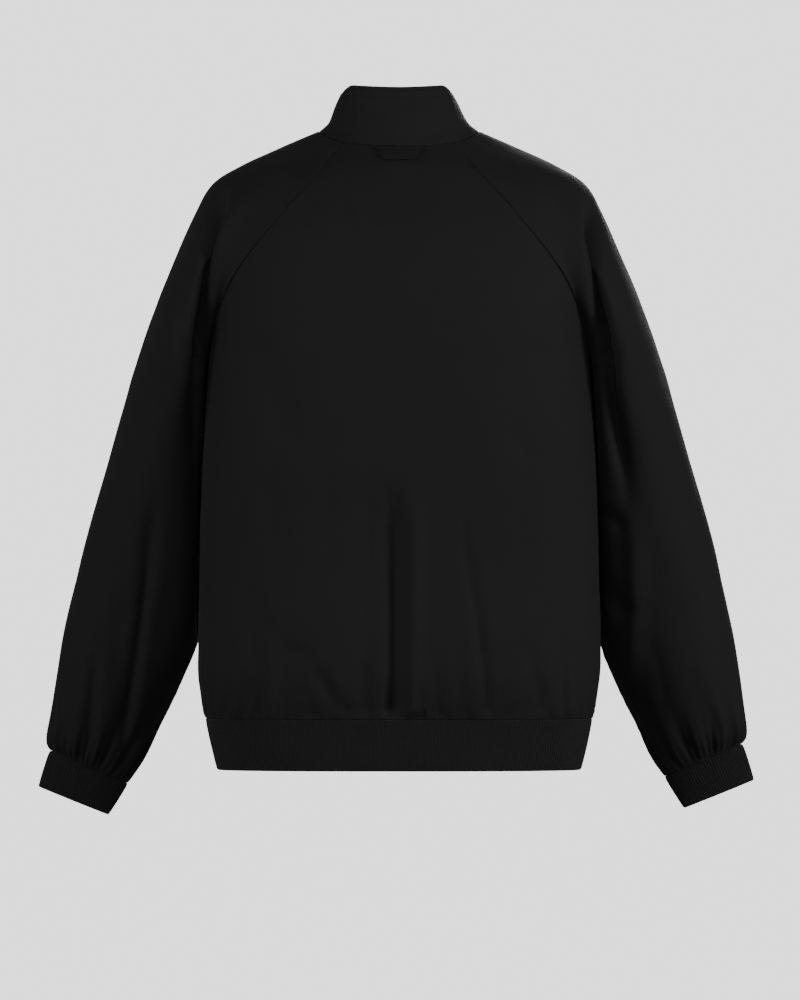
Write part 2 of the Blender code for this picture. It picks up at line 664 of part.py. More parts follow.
def spot_on(grid, normals, x, drop):
    """Points and normals of a panel's own facets straight before x at a drop."""
    faces = grid_faces(grid.shape[0], grid.shape[1] - 1)
    corners = grid.reshape(-1, 3)[faces]
    origin, along, up = corners[:, 0], corners[:, 1] - corners[:, 0], corners[:, 2] - corners[:, 0]
    area = along[:, 0] * up[:, 2] - along[:, 2] * up[:, 0]
    spots, turned = np.empty(x.shape + (3,)), np.empty(x.shape + (3,))
    for place in np.ndindex(x.shape):
        way_x, way_z = x[place] - origin[:, 0], -drop[place] - origin[:, 2]
        first = (way_x * up[:, 2] - way_z * up[:, 0]) / area
        second = (way_z * along[:, 0] - way_x * along[:, 2]) / area
        hit = int(np.argmax(np.minimum(np.minimum(first, second), 1 - first - second)))
        weights = np.array([1 - first[hit] - second[hit], first[hit], second[hit]])
        spots[place] = weights @ corners[hit]
        turned[place] = unit(weights @ normals.reshape(-1, 3)[faces[hit]])
    return spots, turned


def pocket_welt(side, front, normals, collection):
    """Slanted welt over the mouth of a side pocket."""
    mouth = np.linspace((88.0, 405.0), (132.0, 535.0), 11) * (SIDES[side], 1.0)
    lying_strip("pocket_welt_" + side, mouth, (-11.0, -5.5, 0.0, 5.5, 11.0), 0.9, 1.4,
                lambda x, drop: spot_on(front, normals, x, drop), "black_cloth", collection)


# --- zip --------------------------------------------------------------------------------
ZIP_TAPE_WIDTH = 14.0
ZIP_MIDDLE_GAP = 0.25
TAPE_WALL = 1.2
TAPE_CLEARANCE = 0.75
SLIDER_CLEARANCE = 0.35
COLLAR_SEAM_DROP = 62.0
BAND_TOP_DROP = 600.0


def front_line(collar, x, drops):
    """Y of the outer cloth at x beside the zip: collar, then body, then waist band."""
    body = body_spot(np.full_like(drops, x), np.minimum(drops, HEM_SEAM_DROP), -1.0)[0][:, 1]
    ends = np.array([HEM_SEAM_DROP, HEM_DROP])
    band = np.interp(drops, ends, body_spot(np.full(2, x), ends, -1.0)[0][:, 1])
    nearest_zip = collar[:, :-9:-1]
    edge = np.array([[np.interp(x, row[:, 0], row[:, axis]) for axis in (2, 1)]
                     for row in nearest_zip])
    stand = np.interp(-drops, edge[:, 0], edge[:, 1])
    return np.select([-drops > edge[0, 0], drops > HEM_SEAM_DROP], [stand, band], body)


def zip_tape(side, collar, collection):
    """Woven tape behind one front edge, from the hem to the top of the collar."""
    collar_drops = np.linspace(-2.0, COLLAR_SEAM_DROP - 4, 6)
    body_drops = np.linspace(COLLAR_SEAM_DROP + 4, BAND_TOP_DROP - 4, 17)
    band_drops = np.linspace(HEM_SEAM_DROP + 3, HEM_DROP, 3)
    drops = np.concatenate([collar_drops, body_drops, [HEM_SEAM_DROP - 1], band_drops])
    wall = np.select([drops < COLLAR_SEAM_DROP, drops > BAND_TOP_DROP],
                     [COLLAR_WALL, RIB_WALL], CLOTH) + TAPE_CLEARANCE
    widths = np.array([ZIP_MIDDLE_GAP, ZIP_EDGE, ZIP_TAPE_WIDTH])
    outer = np.array([[(x * SIDES[side], y, -drop) for y, drop in
                       zip(front_line(collar, max(x, ZIP_EDGE), drops) + wall, drops)]
                      for x in widths])
    inner = outer + (0.0, TAPE_WALL, 0.0)
    return cloth_wall("zip_tape_" + side, outer, inner, "black_tape", collection)


SLIDER_DROP = 9.0
SLIDER_WIDTH = 8.6
SLIDER_LENGTH = 11.0
SLIDER_THICKNESS = 2.4
BRIDGE_WIDTH = 1.8
BRIDGE_LENGTH = 8.0
BRIDGE_RISE = 3.0
BRIDGE_BAR = 0.9
PULL_WIDTH = 6.4
PULL_LENGTH = 30.0
PULL_THICKNESS = 1.1
PULL_EYE = (3.4, 5.6)
PULL_BAR = 1.1


def block(name, size, centre, finish, collection):
    """Box of this size about this centre, in millimetres."""
    mesh = bpy.data.meshes.new(name)
    cage = bmesh.new()
    bmesh.ops.create_cube(cage, size=1.0)
    bmesh.ops.scale(cage, vec=[edge * MM for edge in size], verts=cage.verts)
    bmesh.ops.translate(cage, vec=[place * MM for place in centre], verts=cage.verts)
    cage.to_mesh(mesh)
    cage.free()
    return add_object(name, mesh, finish, collection)


def combine(target, tool, operation):
    """Boolean of two blocks; the tool is only a helper."""
    modifier = target.modifiers.new(operation.lower(), "BOOLEAN")
    modifier.operation = operation
    modifier.object = tool
    tool.hide_render = True
    tool.display_type = "WIRE"


def slider_front(collar):
    """Y of the front face of the slider's plate."""
    cloth = float(front_line(collar, ZIP_EDGE, np.array([SLIDER_DROP]))[0])
    return cloth + COLLAR_WALL + TAPE_CLEARANCE - SLIDER_CLEARANCE - SLIDER_THICKNESS


def zip_slider(collar, collection, helpers):
    """Slider plate with the bridge that holds the pull tab."""
    face = slider_front(collar)
    plate = block("zip_slider", (SLIDER_WIDTH, SLIDER_THICKNESS, SLIDER_LENGTH),
                  (0.0, face + SLIDER_THICKNESS / 2, -SLIDER_DROP), "dark_metal", collection)
    reach = BRIDGE_RISE + 0.5
    bridge = block("bridge_block", (BRIDGE_WIDTH, reach, BRIDGE_LENGTH),
                   (0.0, face + 0.5 - reach / 2, -SLIDER_DROP), "dark_metal", helpers)
    hollow = block("bridge_hollow", (BRIDGE_WIDTH * 2, BRIDGE_RISE - BRIDGE_BAR,
                                     BRIDGE_LENGTH - 2 * BRIDGE_BAR),
                   (0.0, face - (BRIDGE_RISE - BRIDGE_BAR) / 2, -SLIDER_DROP),
                   "dark_metal", helpers)
    combine(bridge, hollow, "DIFFERENCE")
    combine(plate, bridge, "UNION")


def zip_pull(collar, collection, helpers):
    """Pull tab that hangs by its top bar under the slider's bridge."""
    axis_y = slider_front(collar) - (BRIDGE_RISE - BRIDGE_BAR) / 2
    length_below = PULL_LENGTH - PULL_BAR / 2
    tab = block("zip_pull", (PULL_WIDTH, PULL_THICKNESS, PULL_LENGTH),
                (0.0, 0.0, PULL_LENGTH / 2 - length_below), "dark_metal", collection)
    eye_width, eye_length = PULL_EYE
    eye = block("pull_eye", (eye_width, PULL_THICKNESS * 3, eye_length),
                (0.0, 0.0, -PULL_BAR / 2 - eye_length / 2), "dark_metal", helpers)
    axis = (0.0, axis_y * MM, -SLIDER_DROP * MM)
    tab.location = axis
    eye.location = axis
    combine(tab, eye, "DIFFERENCE")


# --- assembly ---------------------------------------------------------------------------
def clear_scene():
    for piece in list(bpy.data.objects):
        bpy.data.objects.remove(piece, do_unlink=True)


def new_collection(name):
    collection = bpy.data.collections.new(name)
    bpy.context.scene.collection.children.link(collection)
    return collection


def build_jacket():
    clear_scene()
    jacket = new_collection("harrington_jacket")
    helpers = new_collection("cutters")
    back, back_normals = back_grid()
    add_panel("back", back, back_normals, "black_cloth", jacket)
    for side in SIDES:
        front, front_normals = front_grid(side)
        add_panel("front_" + side, front, front_normals, "black_cloth", jacket)
        sleeve, sleeve_normals, closed = sleeve_grid(side)
        add_panel("sleeve_" + side, sleeve, sleeve_normals, "black_cloth", jacket,
                  closed_from=int(np.argmax(closed)))
        cuff(side, jacket)
        pocket_welt(side, front, front_normals, jacket)
    front_left, _ = front_grid("left")
    sleeve_left, _, _ = sleeve_grid("left")
    collar, collar_normals = collar_grid(back, front_left, sleeve_left)
    add_panel("collar", collar, collar_normals, "black_cloth", jacket, wall=COLLAR_WALL)
    hem_rib(jacket)
    hanger_loop(jacket)
    for side in SIDES:
        zip_tape(side, collar, jacket)
    zip_slider(collar, jacket, helpers)
    zip_pull(collar, jacket, helpers)


build_jacket()
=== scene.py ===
"""Looks of the harrington jacket: fine cloth shells with seams, creases and gathers, knit
ribs, sewing, the zip, the materials, and a plain studio.

Sizes are in millimetres in the part's own frame, and MM turns them into metres where a mesh
is made; the materials and the studio are in metres.  +X is the wearer's left, +Y the back and
+Z up.  A drop is a height below the origin.
"""
import math

import bpy
import numpy as np
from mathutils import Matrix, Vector
from mathutils.bvhtree import BVHTree


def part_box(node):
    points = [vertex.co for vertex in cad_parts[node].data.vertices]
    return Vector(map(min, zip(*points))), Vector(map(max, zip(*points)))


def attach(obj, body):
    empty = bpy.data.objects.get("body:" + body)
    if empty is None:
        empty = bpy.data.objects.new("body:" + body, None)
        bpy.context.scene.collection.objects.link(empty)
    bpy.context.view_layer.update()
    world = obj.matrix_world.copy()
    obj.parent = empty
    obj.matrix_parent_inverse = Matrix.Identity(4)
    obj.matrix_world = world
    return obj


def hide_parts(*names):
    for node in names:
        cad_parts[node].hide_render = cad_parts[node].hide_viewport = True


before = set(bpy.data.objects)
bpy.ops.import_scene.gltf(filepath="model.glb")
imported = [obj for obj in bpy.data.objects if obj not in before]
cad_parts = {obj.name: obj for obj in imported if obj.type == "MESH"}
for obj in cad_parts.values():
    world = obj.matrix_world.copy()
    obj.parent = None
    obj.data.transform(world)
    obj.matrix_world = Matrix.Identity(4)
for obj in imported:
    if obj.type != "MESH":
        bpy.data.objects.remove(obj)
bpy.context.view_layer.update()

MM = 0.001
BODY_NAME = "jacket"
TAB_NAME = "pull_tab"

# --- sizes of the garment, as in the solids ---
CLOTH = 1.5
COLLAR_WALL = 2.4
RIB_WALL = 2.0
SEAM = 0.1
UNDERARM_DROP = 262.0
UNDERARM_ANGLE = 97.0
HEM_SEAM_DROP = 607.0
HEM_DROP = 661.0
ZIP_EDGE = 7.0
NECK_FRONT_DROP = 60.0
NECK_BACK_DIP = 4.2
NECK_CURVE = 1.15
CENTRE_ROUNDING = 0.35
BODY_ROOM = 1.8
BODY_SIDE = 212.0
SLEEVE_CONTACT = 18.0
CONTACT_END_DROP = 540.0
FLAT_BY_EDGE = 26.0
FLAT_BY_ARMHOLE = 40.0
FLAT_BY_BAND = 12.0
FLAT_BY_CUFF = 10.0
COLLAR_LIFT = 0.9


class Table:
    """Rows of numbers under named columns, read as smooth curves over the first column."""

    def __init__(self, names, rows):
        self.columns = dict(zip(names.split(), np.array(rows, dtype=float).T))

    def __getitem__(self, name):
        return self.columns[name]

    def at(self, position):
        """Values of all columns but the first, on a last axis."""
        keys, *values = self.columns.values()
        return curve_through(keys, last_axis(*values), position)

    def each(self, position):
        return np.moveaxis(self.at(position), -1, 0)


def last_axis(*values):
    return np.stack(np.broadcast_arrays(*values), axis=-1)


def cubic(part, start, leave, end, arrive):
    """Between two ends with the given slopes."""
    return ((1 + 2 * part) * (1 - part) ** 2 * start + part * (1 - part) ** 2 * leave
            + part ** 2 * (3 - 2 * part) * end + part ** 2 * (part - 1) * arrive)


def curve_through(keys, values, position):
    """Cubic curve through values at rising keys, held still beyond its ends."""
    slopes = np.gradient(values, keys, axis=0)
    place = np.clip(np.asarray(position, dtype=float), keys[0], keys[-1])
    left = np.clip(np.searchsorted(keys, place, side="right") - 1, 0, len(keys) - 2)
    span = (keys[left + 1] - keys[left])[..., None]
    part = (place[..., None] - keys[left][..., None]) / span
    return cubic(part, values[left], slopes[left] * span, values[left + 1], slopes[left + 1] * span)


BODY = Table("drop width back front square", (
    (-11, 84.5, 42, 46, 1.4),
    (0, 106, 55, 56, 1.45),
    (8.4, 124, 62, 61, 1.5),
    (25, 160, 75, 70, 1.7),
    (42, 188, 84, 76, 1.88),
    (59, 201, 92, 81, 2),
    (85, 204, 103, 92, 2.15),
    (118, 203, 112, 104, 2.3),
    (150, 201, 117, 114, 2.42),
    (200, 199, 121, 122, 2.5),
    (262, 202, 122, 127, 2.55),
    (330, 206, 120, 128, 2.6),
    (400, 208, 116, 126, 2.6),
    (470, 210, 114, 124, 2.6),
    (530, 211, 114, 123, 2.6),
    (567, 210, 112, 120, 2.6),
    (590, 206.5, 107, 113, 2.6),
    (607, 203, 101, 106, 2.6),
    (661, 191, 96, 99, 2.6),
))
RAGLAN = Table("step back back_drop front front_drop", (
    (0, 37, 4.4, 148, 18),
    (1, 30, 40, 152.6, 48),
    (2, 35.6, 78, 149.6, 84),
    (3, 45.9, 115, 142.5, 120),
    (4, 59.7, 155, 131.5, 162),
    (5, 77.5, 207, 113.1, 217),
    (6, UNDERARM_ANGLE, UNDERARM_DROP, UNDERARM_ANGLE, UNDERARM_DROP),
))
UNDERARM_STEP = 6.0
CUFF_STEP = 16.0
SHOULDER = Table("step over_x over_y over_drop back_x back_y back_drop"
                 " front_x front_y front_drop", (
    (0, 84.5, 0, -9, 74, 28, -1.5, 77, -30, 1),
    (1, 118, -1, 6.3, 107, 42, 20, 106, -45, 24),
    (2, 155, -2, 24.4, 145, 56, 47, 143, -60, 52),
    (3, 189, -4, 41.8, 182, 61, 80, 176, -70, 86),
    (4, 210, -6, 70, 205, 67, 122, 202, -84, 130),
    (5, 232, -11, 119, 222, 68, 170, 220, -100, 180),
    (6, 255, -16, 173, 234, 66, 220, 234, -108, 228),
))
ARM = Table("step over_x over_drop under_x under_drop middle depth", (
    (6, 255, 173, 201, 262, -23, 87),
    (7, 276, 232, 201, 305, -32, 84),
    (8, 291, 283, 200, 350, -42, 78),
    (9, 309, 344, 198, 400, -52, 71),
    (10, 327, 407, 199, 455, -62, 64),
    (11, 343, 472, 209, 517, -71, 58),
    (12, 355.5, 526, 227, 564, -79, 54),
    (13, 363, 568, 243, 598, -85, 50),
    (14, 369, 608, 260, 630, -91, 43),
    (15, 372, 632, 273, 655, -95, 32),
    (16, 369.5, 642.6, 286.9, 677.4, -98, 17),
))
CUFF = Table("step over_x over_drop under_x under_drop middle depth", (
    (0, 369.5, 642.6, 286.9, 677.4, -98, 17),
    (1, 382.1, 681.5, 308.1, 711.5, -103, 12.5),
))
CUFF_SHIFT = {"left": (0.0, 0.0), "right": (-6.0, 7.0)}
HANG_STEP = 10.0
SHOULDER_SAG = {"left": 0.0, "right": 2.2}
SAG_STEP = 2.7
RIGHT_COLLAR_LEAN = 0.075
COLLAR_TOP = Table("part x y z", (
    (-0.12, -25, 45.5, 55),
    (0, 0, 47, 54.4),
    (0.12, 25, 45.5, 55),
    (0.2, 42, 39.5, 56),
    (0.25, 50.5, 33, 56.4),
    (0.29, 55, 27, 54),
    (0.36, 59, 16, 50),
    (0.48, 62, -5, 46),
    (0.61, 59, -32, 36),
    (0.74, 49, -55, 24),
    (0.86, 33, -71, 12),
    (0.95, 15, -80, 5),
    (1, ZIP_EDGE, -82, 3),
))

COLLAR_HOLLOW = Table("part inwards", (
    (0, 0),
    (0.08, 2.4),
    (0.2, 4.4),
    (0.35, 4.2),
    (0.55, 2.6),
    (0.8, 0.8),
    (1, 0),
))

# --- creases: x and drop of both ends, bow, depth and width; a negative depth is a ridge ---
BACK_FOLDS = (
    (6, 350, 5, 660, 2, 6.8, 11),
    (22, 350, 24, 660, 2, 2.4, 19),
    (-15, 350, -16, 660, -2, -3.4, 9),
    (34, 320, 35, 650, 2, 1, 7),
    (-64, 390, -97, 640, 2, 1.9, 7),
    (-132, 520, -144, 620, 4, 2, 8),
    (156, 462, 130, 524, -2, 0.9, 7),
    (152, 490, 138, 620, -3, 2, 8),
    (112, 515, 122, 612, 3, 1.5, 10),
    (86, 550, 54, 606, -4, 2.4, 7),
    (38, 545, 44, 610, 2, 2, 8),
    (60, 95, -60, 88, -14, -1.8, 26),
    (165, 200, 120, 330, 12, 2.2, 18),
    (-165, 205, -118, 340, -12, 2.2, 18),
)
BACK_CREASES = (
    (7, 420, 6, 650, 1, 1.1, 5),
    (-66, 388, -70, 456, 1, 1.1, 4),
    (-69, 440, -98, 625, 3, 1.3, 4),
    (158, 458, 132, 522, -2, 0.4, 4.5),
    (166, 552, 144, 598, -2, 1.1, 5),
    (112, 530, 127, 575, -3, 0.5, 6),
    (112, 530, 80, 570, 3, 0.8, 7),
    (84, 562, 50, 602, 3, 1.1, 5.5),
    (-143, 556, -149, 600, 1, 1.2, 4.5),
    (-170, 540, -164, 602, 3, 1, 5),
    (176, 520, 178, 600, 2, 1, 5),
    (84, 330, 76, 470, 5, 0.9, 9),
    (-40, 250, -48, 420, -5, 0.8, 10),
    (-130, 300, -120, 460, 6, 0.9, 10),
    (130, 320, 126, 440, -5, 0.9, 10),
)
FRONT_FOLDS = (
    (158, 215, 104, 350, 10, 4, 16),
    (58, 430, 48, 602, 5, 5, 12),
    (108, 548, 116, 603, -3, 4, 10),
    (174, 440, 168, 600, 4, 4.5, 12),
    (36, 110, 30, 250, 4, 2.5, 14),
)
FRONT_CREASES = (
    (66, 470, 58, 602, 3, 1.6, 5),
    (88, 560, 92, 603, 1, 1.3, 4),
    (30, 540, 27, 603, 1, 1.3, 4),
    (140, 556, 146, 602, -2, 1.6, 4.5),
    (168, 500, 160, 600, 2, 1.4, 5),
    (150, 230, 96, 300, 6, 1.3, 8),
    (24, 300, 21, 440, 3, 1, 9),
    (112, 350, 100, 470, 5, 1.2, 9),
)
SLEEVE_BACK_FOLDS = {
    "left": (
        (256, 360, 300, 672, 5, 3.6, 7.5),
        (262, 420, 297, 668, 4, 1.5, 4),
        (290, 470, 296, 640, -1, 1.8, 11),
        (316, 520, 329, 668, -3, 2.6, 6.5),
        (318, 545, 327, 660, -2, 1.3, 4),
        (340, 604, 354, 650, 1, 1.4, 4.5),
        (300, 330, 326, 500, -6, 0.9, 11),
        (150, 60, 214, 150, 10, 1.6, 16),
    ),
    "right": (
        (198, 380, 240, 408, 2, 2.6, 8),
        (196, 436, 250, 506, 4, 3.4, 10.5),
        (262, 520, 284, 610, -4, 1.1, 7),
        (306, 636, 324, 652, 1, 1.6, 4.5),
        (334, 600, 346, 640, 1, 1.4, 4.5),
        (300, 360, 330, 500, -8, 0.9, 11),
        (150, 60, 200, 120, 6, 1.4, 16),
    ),
}
# The deep valley of each sleeve beside the body: the x of its middle, its depth, and its half
# widths towards the body and away from it.
SLEEVE_VALLEY = {
    "left": Table("drop middle depth inner outer", (
        (50, 185, 0, 7, 9),
        (74, 190, 12, 7, 8),
        (105, 197.5, 17.5, 6, 7.5),
        (147, 200.5, 19.5, 6, 8.5),
        (190, 201, 19.5, 6.5, 10),
        (232, 202, 17, 6.5, 12),
        (262, 203, 13, 7, 12),
        (300, 205, 8, 6, 14),
        (420, 208, 4, 8, 13),
        (520, 212, 3, 8, 12),
        (600, 214, 1.5, 8, 11),
        (660, 214, 0, 8, 11),
    )),
    "right": Table("drop middle depth inner outer", (
        (58, 201, 0, 7, 8),
        (78, 201.5, 10, 7, 7.5),
        (115, 203.5, 17.5, 6, 7.5),
        (168, 205.5, 19.5, 6.5, 9),
        (220, 211, 18.5, 6.5, 11),
        (273, 219, 16, 7, 11),
        (315, 227, 12, 7, 12),
        (346, 234, 7, 7, 12),
        (390, 242, 0, 8, 12),
        (660, 242, 0, 8, 12),
    )),
}
VALLEY_EDGE = 4.0
VALLEY_FLANK = 1.9
VALLEY_CREST = 1.4
VALLEY_LAP = 0.07
SLEEVE_FRONT_FOLDS = (
    (222, 330, 300, 372, 6, 4.5, 12),
    (215, 400, 292, 430, 6, 5, 12),
    (226, 470, 306, 486, 5, 4.5, 12),
    (250, 540, 318, 628, 6, 4, 10),
    (140, 70, 206, 170, -8, 2.5, 16),
)

WAIST_GATHER = {"pitch": 21.0, "height": 1.2, "reach": 15.0}
WAIST_PUCKER = {"pitch": 8.6, "height": 1.0, "reach": 5.0}
CUFF_GATHERS = 13
CUFF_GATHER_HEIGHT = 2.2
CUFF_GATHER_REACH = 16.0
CUFF_PUCKERS = 31
CUFF_PUCKER_HEIGHT = 0.8
CUFF_PUCKER_REACH = 8.0
RIB_PITCH = 3.1
RIB_RISE = 0.6
RIB_COLUMNS = 6

LIP_PLACE = 1.9
LIP_SHARE = 0.2
NOISE_WAVES = 18

# Distances from a sewn edge at which extra rows or columns are put, and the roll of the edge.
EDGE_LINES = np.array([0.0, 0.45, 1.0, 1.7, 2.6, 3.8])
EDGE_FULL_LENGTH = 24.0
EDGE_ROLL = 0.5
EDGE_ROLL_REACH = 2.0
PUCKER_HEIGHT = 0.22
SEAM_TURN_REACH = 7.0

SIDES = {"left": 1.0, "right": -1.0}
LEVEL = np.array([1.0, 1.0, 0.0])


# --- surface rules, as in the solids ---
def body_point(angle, drop):
    width, back, front, square = BODY.each(drop)
    sine, cosine = np.sin(np.radians(angle)), np.cos(np.radians(angle))
    depth = np.where(cosine > 0, back, front)
    share = np.abs(sine) ** (2 / square)
    blunt = CENTRE_ROUNDING * np.clip(2.0 - square, 0.0, 1.0)
    least = blunt ** square
    bend = (share ** 2 + blunt ** 2) ** (square / 2) - least
    bend = np.clip(bend / ((1 + blunt ** 2) ** (square / 2) - least), 0.0, 1.0)
    x = np.sign(sine) * width * share
    y = np.sign(cosine) * depth * (1 - bend) ** (1 / square)
    return last_axis(x, y, -np.asarray(drop, dtype=float))


def angle_before_zip(drop):
    width, _, _, square = BODY.each(drop)
    return 180.0 - np.degrees(np.arcsin((ZIP_EDGE / width) ** (square / 2)))


def way_along(points):
    steps = np.linalg.norm(np.diff(points, axis=0), axis=1)
    return np.concatenate([[0.0], np.cumsum(steps)])


def evenly(line, shares, points=None):
    """Points at shares of a line's length, or other values given at its points."""
    points = line if points is None else points
    length = way_along(line)
    wanted = np.asarray(shares) * length[-1]
    return last_axis(*(np.interp(wanted, length, row) for row in points.T))


def edged(points, columns):
    """A polyline cut into columns, with extra ones close to its sewn ends."""
    length = way_along(points)[-1]
    lines = EDGE_LINES * min(1.0, length / EDGE_FULL_LENGTH)
    middle = np.linspace(lines[-1], length - lines[-1], columns - len(lines) * 2 + 3)
    ways = np.concatenate([lines[:-1], middle, length - lines[-2::-1]])
    return evenly(points, ways / length)


def ease(value):
    part = np.clip(value, 0.0, 1.0)
    return part * part * (3 - 2 * part)


def bell(value, reach):
    return np.exp(-(value / reach) ** 2)


def hump(distance, reach):
    """Rises from 0 at a seam to 1 at the reach, and dies out beyond."""
    part = distance / reach
    return part * np.exp(1 - part)


def unit(vectors):
    return vectors / np.maximum(np.linalg.norm(vectors, axis=-1, keepdims=True), 1e-9)


def dot(first, second):
    return np.sum(first * second, axis=-1, keepdims=True)


def turned_out(normals, outward):
    return normals * np.sign(dot(normals, outward))


def grid_normals(grid, outward):
    normals = unit(np.cross(np.gradient(grid, axis=0), np.gradient(grid, axis=1)))
    return turned_out(normals, outward)


def join_ends(normals, rows=slice(None)):
    """Give both ends of closed rings the same normal."""
    normals[rows, 0] = normals[rows, -1] = unit(normals[rows, 0] + normals[rows, -1])


def fold_height(folds, x, drop):
    """Height of a set of folds over the smooth surface, below zero in a trough."""
    height = np.zeros(np.broadcast(x, drop).shape)
    for x0, drop0, x1, drop1, bow, depth, width in folds:
        run = np.array([x1 - x0, drop1 - drop0])
        length = np.hypot(*run)
        along = ((x - x0) * run[0] + (drop - drop0) * run[1]) / length ** 2
        across = ((drop - drop0) * run[0] - (x - x0) * run[1]) / length
        part = np.clip(along, 0.0, 1.0)
        across = across - bow * 4 * part * (1 - part)
        beyond = (along - part) * length
        fade = ease(np.minimum(part, 1 - part) * 5) * bell(beyond, width)
        lips = bell(np.abs(across) - LIP_PLACE * width, width)
        height += depth * fade * (LIP_SHARE * lips - bell(across, width))
    return height


def gather_height(way, above_seam, pitch, height, reach):
    """Uneven small waves that rise just above a gathered seam and die out above it."""
    phase = 2 * np.pi * (way / pitch + 0.22 * np.sin(way / 37.0) + 0.13 * np.sin(way / 13.0 + 1))
    size = 0.75 + 0.25 * np.sin(way / 29.0 + 2)
    return height * size * hump(above_seam, reach) * np.sin(phase)


def soft_noise(points, wave, seed, stretch=(1.0, 1.0, 0.45)):
    """Smooth uneven field, about -1 to 1, longer along Z than across."""
    chance = np.random.default_rng(seed)
    total = np.zeros(points.shape[:-1])
    scaled = points * stretch
    for _ in range(NOISE_WAVES):
        heading = unit(chance.normal(size=3))
        size = wave * chance.uniform(0.7, 1.5)
        total += np.sin(2 * np.pi * (scaled @ heading) / size + chance.uniform(0, 2 * np.pi))
    return total / math.sqrt(NOISE_WAVES / 2) * 0.6


def ways_across(grid):
    steps = np.linalg.norm(np.diff(grid, axis=1), axis=-1)
    return np.concatenate([np.zeros((len(grid), 1)), np.cumsum(steps, axis=1)], axis=1)


def from_ends(way):
    """Distance from the nearer end of each row, by the way along it."""
    return np.minimum(way, way[:, -1:] - way)


def from_edges(grid, reach):
    """0 at the first and last column, 1 from the given distance inwards."""
    way = ways_across(grid)
    return ease(from_ends(way) / reach), way


def roll(distance):
    """How far a sewn edge turns in, by the distance from it."""
    return -EDGE_ROLL * (1 - np.clip(distance / EDGE_ROLL_REACH, 0, 1)) ** 2


def seam_pucker(distance, along):
    """Fine unevenness beside a sewn line."""
    near = np.exp(-distance / 7.0) * np.clip(distance / 1.5, 0, 1)
    wave = np.sin(along / 2.1) + 0.7 * np.sin(along / 3.4 + 1.3 * np.sin(along / 23.0))
    return PUCKER_HEIGHT * near * wave


def pull_back(grid, rows=slice(None)):
    grid[rows, 0] += unit(grid[rows, 1] - grid[rows, 0]) * SEAM / 2
    grid[rows, -1] += unit(grid[rows, -2] - grid[rows, -1]) * SEAM / 2


# --- meshes ---
def make_mesh(name, points, faces, uv=None, uv_index=None, sharp=40.0):
    """Mesh from points in millimetres and quads or triangles of one size."""
    mesh = bpy.data.meshes.new(name)
    faces = np.ascontiguousarray(faces, dtype=np.int32)
    sides = faces.shape[1]
    mesh.vertices.add(len(points))
    mesh.vertices.foreach_set("co", np.ascontiguousarray(points * MM, dtype=np.float32).ravel())
    mesh.loops.add(faces.size)
    mesh.loops.foreach_set("vertex_index", faces.ravel())
    mesh.polygons.add(len(faces))
    mesh.polygons.foreach_set("loop_start", np.arange(len(faces), dtype=np.int32) * sides)
    mesh.update(calc_edges=True)
    mesh.validate()
    if uv is not None:
        layer = mesh.uv_layers.new(name="flat")
        layer.data.foreach_set("uv", (uv[uv_index.ravel()] * MM).astype(np.float32).ravel())
    mesh.shade_smooth()
    if sharp:
        mesh.set_sharp_from_angle(angle=math.radians(sharp))
    return mesh


def add_object(name, data):
    thing = bpy.data.objects.new(name, data)
    bpy.context.scene.collection.objects.link(thing)
    return thing


def add_piece(name, mesh, look, body=BODY_NAME, stands_for=()):
    """A visible piece; its look is a material and the name of a slot, which is not used."""
    material, slot = look
    mesh.materials.append(material)
    piece = add_object(name, mesh)
    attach(piece, body)
    if stands_for:
        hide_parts(*stands_for)
    return piece


def shell_mesh(name, outer, inner, closed_from=None, uv=None):
    """Closed wall between an outer and an inner grid; rows from closed_from on are rings."""
    rows, columns = outer.shape[0], outer.shape[1] - 1
    plain = np.arange(rows * (columns + 1)).reshape(rows, columns + 1)
    numbers = plain.copy()
    if closed_from is not None:
        numbers[closed_from:, -1] = numbers[closed_from:, 0]

    def quads(table):
        return np.stack([table[:-1, :-1], table[:-1, 1:], table[1:, 1:], table[1:, :-1]],
                        axis=-1).reshape(-1, 4)

    faces, uv_faces = quads(numbers), quads(plain)
    count = plain.size
    starts, ends = faces.ravel(), np.roll(faces, -1, axis=1).ravel()
    alone = ~np.isin(starts.astype(np.int64) * count + ends, ends.astype(np.int64) * count + starts)
    first, second = starts[alone], ends[alone]
    rims = np.stack([second, first, first + count, second + count], axis=1)
    points = np.concatenate([outer.reshape(-1, 3), inner.reshape(-1, 3)])
    every = np.concatenate([faces, faces[:, ::-1] + count, rims])
    uv_index = np.concatenate([uv_faces, uv_faces[:, ::-1], rims % count])
    corner = points[every]
    volume = np.sum(corner[:, 0] * np.cross(corner[:, 1], corner[:, 2]))
    volume += np.sum(corner[:, 0] * np.cross(corner[:, 2], corner[:, 3]))
    if volume < 0:
        every, uv_index = every[:, ::-1], uv_index[:, ::-1]
    used, renumbered = np.unique(every, return_inverse=True)
    if uv is None:
        way = ways_across(outer)
        down = way_along(outer[:, columns // 2])
        uv = last_axis(way - way[:, -1:] / 2, -down[:, None])
    return make_mesh(name, points[used], renumbered.reshape(-1, 4), uv.reshape(-1, 2), uv_index)


def add_shell(name, outer, inner, look, solid, closed_from=None, uv=None):
    """A wall between two grids that stands for one solid."""
    mesh = shell_mesh(name, outer, inner, closed_from, uv)
    return add_piece(name, mesh, look, stands_for=(solid,))


